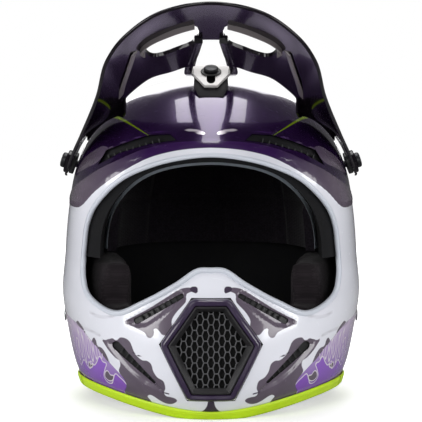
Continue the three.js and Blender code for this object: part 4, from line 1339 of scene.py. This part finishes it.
def hung_wall(line, drop, thick, lean_in=0.0, clear=5.0):
    """A thin wall that hangs from the visor's underside along a line in plan, and stays clear of the shell."""
    count = len(line) * 8
    run = spline(line, np.linspace(0, 1, count + 1))
    way = np.gradient(run, axis=0)
    way /= np.linalg.norm(way, axis=1, keepdims=True)
    across_way = np.stack([-way[:, 1], way[:, 0]], 1)
    tops = np.array([under_visor(x, y) for x, y in run]) + 1.0
    bottoms = np.maximum(tops - drop, [above_shell(x, y) + clear for x, y in run])
    bottoms = np.minimum(bottoms, tops - 1.2)

    def place(u, w):
        column = np.round(u * count).astype(int)
        corner = np.round(w * 4).astype(int) % 4
        side = np.where(np.isin(corner, (0, 3)), -0.5, 0.5) * thick
        low = np.isin(corner, (2, 3))
        side = side + np.where(low, lean_in, 0)
        spot = run[column] + across_way[column] * side[:, None]
        return np.stack([spot[:, 0], spot[:, 1], np.where(low, bottoms[column], tops[column])], 1)

    return close_up(shape_grid(count, 4, place))


def bar(path, width, height, columns=24):
    """A rounded rectangular bar along a path."""
    corner = 5
    section = []
    for k in range(4):
        cx, cz = (1, 1, -1, -1)[k], (1, -1, -1, 1)[k]
        for j in range(corner):
            angle = math.radians(90 - 90 * k - 90 * j / (corner - 1))
            section.append((cx * (width / 2 - 1) + math.cos(angle), cz * (height / 2 - 1) + math.sin(angle)))
    section = np.array(section)

    def place(u, w):
        spot, way = spline(path, u), heading(path, u, 1e-3)
        side = np.cross(way, (0, 0, 1))
        side /= np.linalg.norm(side, axis=1, keepdims=True)
        up = np.cross(side, way)
        index = np.round(w * len(section)).astype(int) % len(section)
        return spot + side * section[index, :1] + up * section[index, 1:]

    return close_up(shape_grid(columns, len(section), place))


def make_visor():
    window = rounded(VISOR_WINDOW, 5)
    windows = both_sides(prism(window, 230, 340, "plan"))
    notch = prism(VISOR_NOTCH, 230, 340, "plan")
    holes = []
    for sign in (1, -1):
        axis = screw_axis(sign)
        seat = Vector((PIVOT["x"] * sign, PIVOT["y"], PIVOT["z"]))
        holes.append(turned([(0, -6), (11.2, -6), (11.2, 5.3), (0, 5.3)], seat, axis))
        holes.append(turned([(0, 9.3), (7.4, 9.3), (7.4, 30), (0, 30)], seat, axis))
        holes.append(turned([(0, 0), (3.4, 0), (3.4, 30), (0, 30)], seat, axis))
    sheet = carve(visor_sheet(), windows, notch, *holes)
    add_piece("visor_peak", sheet, [visor_gloss()], "visor", ["visor"], sharp=40)
    for sign, name in ((1, "left"), (-1, "right")):
        boss = turned([(3.4, 5.3), (10, 5.3), (10, 8.5), (9.2, 9.3), (3.4, 9.3), (3.4, 5.3)],
                      Vector((PIVOT["x"] * sign, PIVOT["y"], PIVOT["z"])), screw_axis(sign))
        add_piece(f"visor_boss_{name}", boss, [visor_gloss()], "visor")
        strut = bar([(x * sign, y, z) for x, y, z in STRUT], *STRUT_SECTION)
        add_piece(f"visor_strut_{name}", strut, [strut_black()], "visor")
        lip = hung_wall([(x * sign, y) for x, y in ((12.5, -189.5), (30, -179.5), (49, -168), (53, -160), (51, -148))],
                        4.6, 1.5)
        add_piece(f"window_lip_{name}", lip, [visor_lining()], "visor")
        fin = hung_wall([(x * sign, y) for x, y in ((55, -163), (61, -130), (67, -98), (70, -78))], 5.2, 1.4,
                        lean_in=-4.5 * sign)
        add_piece(f"inlet_fin_{name}", fin, [visor_lining()], "visor")
        line = [(x * sign, y - 1) for x, y, _ in VISOR_REAR[4:8]]
        add_piece(f"arm_skirt_{name}", hung_wall(line, 13, 1.6), [visor_gloss()], "visor")
    make_tongue()


def screw_axis(sign):
    turn = math.radians(PIVOT["lean"])
    return Vector((math.cos(turn) * sign, 0, math.sin(turn)))


def on_pivot_arc(radius, degrees):
    angle = math.radians(degrees)
    return PIVOT["y"] + math.cos(angle) * radius, PIVOT["z"] + math.sin(angle) * radius


def make_tongue():
    """The grey plate under the knob: an arc that narrows to a blunt V, with a long slot."""

    def half_at(share):
        return TONGUE["half"] + (5.5 - TONGUE["half"]) * np.clip((share - 0.42) / 0.58, 0, 1)

    def skin(radius):
        def place(u, v):
            angle = np.radians(TONGUE["back"] + (TONGUE["front"] - TONGUE["back"]) * v)
            x = (u * 2 - 1) * half_at(v)
            return np.stack([x, PIVOT["y"] + np.cos(angle) * radius, PIVOT["z"] + np.sin(angle) * radius], 1)
        return shape_grid(24, 24, place)

    plate = join_walls(skin(TONGUE["outer"]), skin(TONGUE["inner"]))
    y0, z0 = on_pivot_arc(85, 127)
    y1, z1 = on_pivot_arc(85, 111)
    slot = prism(slot_outline(((0, y0, 7), (0, y1, 7))), 240, 300, "plan")
    plate = soften(carve(plate, slot), 0.5, 2, 50)
    add_piece("visor_tongue", plate, [plate_grey()], "visor")


# ---------------------------------------------------------------- visor fixings


def hex_prism(radius, origin, axis, start, end):
    return turned([(0, start), (radius, start), (radius, end), (0, end)], origin, axis, steps=6)


def make_side_fixings():
    for sign, side in ((1, "left"), (-1, "right")):
        seat, axis = Vector((PIVOT["x"] * sign, PIVOT["y"], PIVOT["z"])), screw_axis(sign)
        profile = [(0, -10), (2.6, -10), (3, -9.4), (3, 9.6), (6.1, 9.6), (6.5, 10), (6.5, 12.2), (5.8, 13.2), (4.6, 13.6),
                   (0, 13.6)]
        screw = carve(turned(profile, seat, axis), hex_prism(2.9, seat, axis, 11, 20))
        add_piece(f"side_screw_{side}", soften(screw, 0.2, 1, 50), [bolt_black()], f"visor_screw_{side}",
                  [f"visor_side_screw_{side}"])
        spacer = turned([(4, 0.8), (9, 0.8), (9.4, 1.2), (9.4, 4.2), (9, 4.6), (4, 4.6), (4, 0.8)], seat, axis)
        add_piece(f"screw_spacer_{side}", spacer, [black_plastic()], "shell",
                  [f"visor_side_spacer_{side}"])
        nut = carve(turned([(0, -10.6), (8, -10.6), (8, -6), (0, -6)], seat, axis, steps=6),
                    turned([(0, -12), (4, -12), (4, -4), (0, -4)], seat, axis))
        add_piece(f"screw_nut_{side}", soften(nut, 0.3, 1, 50), [ring_steel()], "shell",
                  [f"visor_side_nut_{side}"])


def make_centre_fixings():
    axis = Vector((0, math.cos(math.radians(KNOB_ANGLE)), math.sin(math.radians(KNOB_ANGLE))))
    seat = Vector((0, PIVOT["y"], PIVOT["z"]))
    knob = turned([(0, 73), (2.5, 73), (2.5, KNOB_SEAT), (5.8, KNOB_SEAT), (6, KNOB_SEAT + 0.3), (6, KNOB_SEAT + 2.1),
                   (5.6, KNOB_SEAT + 2.7), (4.9, KNOB_SEAT + 3), (0, KNOB_SEAT + 3)], seat, axis, steps=72)
    add_piece("center_screw_knob", knob, [bolt_black()], "center_knob", ["visor_center_knob"])
    washer = turned([(2.9, 86.4), (8.2, 86.4), (8.5, 86.7), (8.5, 87), (8.2, 87.3), (2.9, 87.3), (2.9, 86.4)], seat, axis)
    add_piece("center_screw_washer", washer, [black_plastic()], "shell",
              ["visor_center_washer"])
    make_receiver()


def make_receiver():
    """The block on the crown under the knob, narrowing towards its lower end."""
    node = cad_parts["visor_center_receiver"]
    receiver = bmesh.new()
    receiver.from_mesh(node.data)
    bmesh.ops.transform(receiver, matrix=TO_PART.inverted() @ node.matrix_world, verts=receiver.verts)
    bmesh.ops.remove_doubles(receiver, verts=receiver.verts, dist=WELD)
    low, high = (f(v.co.z for v in receiver.verts) for f in (min, max))
    slant = both_sides(prism([(9, low - 1), (14, low + 9), (15.6, high + 1), (30, high + 1), (30, low - 1)], -300, 0))
    receiver = soften(carve(receiver, slant), 0.7, 2, 40)
    add_piece("crown_receiver", receiver, [dull_black()], "shell", ["visor_center_receiver"])


# ---------------------------------------------------------------- chin strap


def strap(path, columns):
    """Flat webbing with rounded selvedges, along a path on the front elevation."""
    rounding = 6
    half_thick, half_wide = STRAP_THICK / 2, STRAP_WIDTH / 2
    section = []
    for sign in (1, -1):
        for k in range(rounding + 1):
            angle = math.radians(90 - 180 * k / rounding) * 1.0
            section.append((sign * (half_wide - half_thick + math.cos(angle) * half_thick),
                            sign * math.sin(angle) * half_thick))
    section = np.array(section)
    middle = STRAP_FRONT + half_wide

    def place(u, w):
        spot, way = spline(path, u), heading(path, u, 1e-3)
        index = np.round(w * len(section)).astype(int) % len(section)
        wide, thick = section[index, 0], section[index, 1]
        return np.stack([spot[:, 0] - way[:, 1] * thick, middle + wide, spot[:, 1] + way[:, 0] * thick], 1)

    return close_up(shape_grid(columns, len(section), place))


def make_straps():
    ring_side = strap(RING_STRAP_PATH, 120)
    loop_path = [(-19.5, 10.8), (-17.4, 7.6), (-14, 6.4), (-10.9, 8), (-10.3, 10.8), (-10.9, 13.6), (-14, 15.2),
                 (-17.4, 14)]
    loop = strap(loop_path + loop_path[:1], 60)
    take_in(ring_side, loop)
    add_piece("strap_right", ring_side, [webbing()], "strap", ["chin_strap_right"], sharp=60)
    add_piece("strap_left", strap(TAIL_STRAP_PATH, 220), [webbing()], "strap",
              ["chin_strap_left"], sharp=60)
    snap = turned([(0, 14), (4.8, 14), (5, 14.3), (5, 15), (4.4, 15.5), (3, 15.6), (2.4, 15.1), (0, 15.1)],
                  Vector((46, RIVET["y"], 0)), (0, 0, 1))
    add_piece("strap_snap_cap", snap, [black_plastic()], "strap", ["strap_snap"])
    for sign, side in ((1, "left"), (-1, "right")):
        rivet = turned([(0, 110.6), (5.4, 110.6), (6, 111), (6, 112.2), (3, 112.2), (3, 123.9), (6, 123.9), (6, 124.3),
                        (5, 125), (3, 125.3), (0, 125.3)], Vector((0, RIVET["y"], RIVET["z"])), (sign, 0, 0))
        add_piece(f"rivet_{side}", rivet, [ring_steel()], "shell", [f"strap_rivet_{side}"])


def make_rings():
    left, right, half = RING["left"], RING["right"], RING["half"]
    shoulder = left + (right - left) * 0.2
    path = [(left + 1.2, -half)]
    for k in range(9):
        angle = math.radians(-76 + 19 * k)
        path.append((shoulder + (right - shoulder) * math.cos(angle) ** 0.3, math.sin(angle) * half))
    path += [(left + 1.2, half), (left, half - 1.4), (left, 0), (left, 1.4 - half)]
    for name, height in RING["heights"].items():

        def place(u, w, height=height):
            spot = spline(path, u, closed=True)
            way = spline(path, u + 1e-3, closed=True) - spline(path, u - 1e-3, closed=True)
            way /= np.linalg.norm(way, axis=1, keepdims=True)
            reach, rise = np.cos(w * math.tau) * RING["wire"], np.sin(w * math.tau) * RING["wire"]
            return np.stack([spot[:, 0] + way[:, 1] * reach, RIVET["y"] + spot[:, 1] - way[:, 0] * reach,
                             height + rise], 1)

        ring = shape_grid(120, 16, place)
        bmesh.ops.recalc_face_normals(ring, faces=ring.faces)
        add_piece(f"strap_ring_{name}", ring, [ring_steel()], f"ring_{name}", [f"d_ring_{name}"])


# ---------------------------------------------------------------- stage

CAMERA = {"distance": 1500, "elevation": 2.5, "target": 154.3, "lens": 150.4}
# Each softbox is (place, aim, width, height, watts).
SOFTBOXES = {
    "overhead": ((0, 120, 1600), (0, 60, 230), 800, 1200, 16),
    "overhead_left": ((-1000, -300, 1400), (0, -60, 230), 420, 600, 2.5),
    "overhead_right": ((1000, -300, 1400), (0, -60, 230), 420, 600, 2.5),
    "behind": ((0, 1900, 900), (0, 0, 220), 1100, 1300, 12),
    "left": ((-1700, -500, 350), (0, 0, 130), 900, 1000, 13),
    "right": ((1700, -500, 350), (0, 0, 130), 900, 1000, 11),
    "front_left": ((-900, -2300, 700), (0, 0, 130), 1100, 900, 17),
    "front_right": ((1000, -2300, 600), (0, 0, 130), 900, 800, 11),
}


def make_stage():
    floor = bmesh.new()
    bmesh.ops.create_grid(floor, x_segments=1, y_segments=1, size=12)
    bmesh.ops.translate(floor, verts=floor.verts, vec=(0, 0, -0.0002))
    mesh = bpy.data.meshes.new("floor")
    floor.to_mesh(mesh)
    floor.free()
    material, tree, shader = new_material("floor_paper", (0.8, 0.8, 0.8), 0.8, Emission_Color=(1, 1, 1, 1))
    rays = add_node(tree, "LightPath")
    seen = rays.outputs["Is Camera Ray"]
    tree.links.new(mix(tree, rays.outputs["Is Glossy Ray"], (0.8, 0.8, 0.8), (0.16, 0.16, 0.16)),
                   shader.inputs["Base Color"])
    place = add_node(tree, "TexCoord").outputs["Object"]
    away = add_node(tree, "VectorMath", {0: place}, operation="LENGTH").outputs["Value"]
    tree.links.new(add_node(tree, "Math", {0: seen, 1: ramp(tree, away, 0.2, 0.7, 0.5, 1.0)},
                            operation="MULTIPLY").outputs[0], shader.inputs["Emission Strength"])
    mesh.materials.append(material)
    ground = bpy.data.objects.new("floor", mesh)
    bpy.context.scene.collection.objects.link(ground)

    for name, (place, aim, width, height, power) in SOFTBOXES.items():
        light = bpy.data.lights.new(name, "AREA")
        light.shape, light.size, light.size_y, light.energy = "RECTANGLE", width * MM, height * MM, power
        lamp = bpy.data.objects.new(name, light)
        lamp.visible_camera = False
        lamp.location = Vector(place) * MM
        lamp.rotation_euler = (Vector(place) - Vector(aim)).to_track_quat("Z", "Y").to_euler()
        bpy.context.scene.collection.objects.link(lamp)

    world = bpy.data.worlds.new("studio")
    world.use_nodes = True
    tree = world.node_tree
    sky = tree.nodes["Background"]
    seen = add_node(tree, "LightPath").outputs["Is Camera Ray"]
    tree.links.new(mix(tree, seen, (settings().fill,) * 3, (1, 1, 1)), sky.inputs["Color"])
    bpy.context.scene.world = world
    bpy.context.scene.view_settings.view_transform = "Standard"

    lens = bpy.data.cameras.new("camera")
    lens.lens, lens.sensor_width = CAMERA["lens"], 36
    lens.clip_end = 50
    camera = bpy.data.objects.new("camera", lens)
    tilt = math.radians(CAMERA["elevation"])
    target = Vector((0, SHIFT, CAMERA["target"])) * MM
    back = Vector((0, -math.cos(tilt), math.sin(tilt)))
    camera.location = target + back * CAMERA["distance"] * MM
    camera.rotation_euler = back.to_track_quat("Z", "Y").to_euler()
    bpy.context.scene.collection.objects.link(camera)
    bpy.context.scene.camera = camera


# ---------------------------------------------------------------- settings, operators and panel


def colour_setting(name, description, default):
    return FloatVectorProperty(name=name, description=description, default=default, subtype="COLOR", size=3,
                               min=0, max=1)


class HelmetSettings(bpy.types.PropertyGroup):
    shell_columns: IntProperty(name="Shell columns", description="Steps round the shell", default=450, min=60)
    shell_rows: IntProperty(name="Shell rows", description="Steps from the rim to the crown", default=126, min=30)
    fill: FloatProperty(name="Fill light", description="Brightness of the room round the helmet", default=0.10,
                        min=0, max=2, subtype="FACTOR")
    crown: colour_setting("Crown", "Deep purple of the crown and forehead", (0.024, 0.007, 0.050))
    white: colour_setting("White", "Cool white round the port and chin", (0.80, 0.81, 0.88))
    plum: colour_setting("Plum", "Grey plum of the band and the vent panels", (0.125, 0.098, 0.135))
    dark: colour_setting("Dark plum", "Darkest painted accents", (0.050, 0.035, 0.062))
    lilac: colour_setting("Lilac", "Middle of the flame fade", (0.52, 0.40, 0.64))
    blush: colour_setting("Blush", "Top of the flame fade", (0.70, 0.64, 0.70))
    flame: colour_setting("Flame", "Strong purple of the flames", (0.20, 0.075, 0.42))
    line: colour_setting("Outline", "Thin outlines of the flames", (0.74, 0.68, 0.74))
    lime: colour_setting("Lime", "Rim rubber and swooshes", (0.57, 0.83, 0.01))
    visor: colour_setting("Visor", "Near-black purple of the visor", (0.005, 0.003, 0.006))
    bezel: colour_setting("Vent frame", "Purple of the chin vent's frame", (0.026, 0.012, 0.046))


class HELMET_OT_shell(bpy.types.Operator):
    """Build the painted shell with its vents"""
    bl_idname = "helmet.shell"
    bl_label = "Shell"

    def execute(self, context):
        make_shell()
        make_vents()
        return {"FINISHED"}


class HELMET_OT_trims(bpy.types.Operator):
    """Build the eye port bead and the rubber on the rim"""
    bl_idname = "helmet.trims"
    bl_label = "Trims"

    def execute(self, context):
        make_port_trim()
        make_rim_trim("chin_rim_rubber", "chin_rim_trim", -TRIM_SPLIT, TRIM_SPLIT, 180)
        make_rim_trim("neck_rim_rubber", "neck_rim_trim", TRIM_SPLIT + TRIM_GAP, 360 - TRIM_SPLIT - TRIM_GAP, 240)
        return {"FINISHED"}


class HELMET_OT_chin_vent(bpy.types.Operator):
    """Build the chin vent: frame, throat, honeycomb and filter"""
    bl_idname = "helmet.chin_vent"
    bl_label = "Chin vent"

    def execute(self, context):
        make_chin_vent()
        return {"FINISHED"}


class HELMET_OT_liners(bpy.types.Operator):
    """Build the foam, the slip layer and the lining"""
    bl_idname = "helmet.liners"
    bl_label = "Liners"

    def execute(self, context):
        make_foam()
        make_slip_layer()
        make_comfort_liner()
        return {"FINISHED"}


class HELMET_OT_pads(bpy.types.Operator):
    """Build the cheek pads and the neck roll"""
    bl_idname = "helmet.pads"
    bl_label = "Pads"

    def execute(self, context):
        make_cheek_pads()
        make_neck_roll()
        return {"FINISHED"}


class HELMET_OT_visor(bpy.types.Operator):
    """Build the visor with its struts and tongue"""
    bl_idname = "helmet.visor"
    bl_label = "Visor"

    def execute(self, context):
        make_visor()
        return {"FINISHED"}


class HELMET_OT_fixings(bpy.types.Operator):
    """Build the visor's screws, nuts, spacers and knob"""
    bl_idname = "helmet.fixings"
    bl_label = "Fixings"

    def execute(self, context):
        make_side_fixings()
        make_centre_fixings()
        return {"FINISHED"}


class HELMET_OT_strap(bpy.types.Operator):
    """Build the chin strap, its rivets and its D-rings"""
    bl_idname = "helmet.strap"
    bl_label = "Chin strap"

    def execute(self, context):
        make_straps()
        make_rings()
        return {"FINISHED"}


class HELMET_OT_stage(bpy.types.Operator):
    """Set the floor, the softboxes and the camera"""
    bl_idname = "helmet.stage"
    bl_label = "Stage"

    def execute(self, context):
        make_stage()
        return {"FINISHED"}


STEPS = (HELMET_OT_shell, HELMET_OT_trims, HELMET_OT_chin_vent, HELMET_OT_liners, HELMET_OT_pads, HELMET_OT_visor,
         HELMET_OT_fixings, HELMET_OT_strap, HELMET_OT_stage)


class HELMET_PT_panel(bpy.types.Panel):
    """Lists every step of the helmet"""
    bl_idname = "HELMET_PT_panel"
    bl_label = "Motocross helmet"
    bl_space_type = "VIEW_3D"
    bl_region_type = "UI"
    bl_category = "Helmet"

    def draw(self, context):
        for name in HelmetSettings.__annotations__:
            self.layout.prop(context.scene.helmet_settings, name)
        for step in STEPS:
            self.layout.operator(step.bl_idname)


CLASSES = (HelmetSettings, *STEPS, HELMET_PT_panel)


def register():
    for made in CLASSES:
        bpy.utils.register_class(made)
    bpy.types.Scene.helmet_settings = PointerProperty(type=HelmetSettings)


def unregister():
    del bpy.types.Scene.helmet_settings
    for made in reversed(CLASSES):
        bpy.utils.unregister_class(made)


def main():
    register()
    for step in STEPS:
        group, name = step.bl_idname.split(".")
        getattr(getattr(bpy.ops, group), name)()


if __name__ == "__main__":
    main()
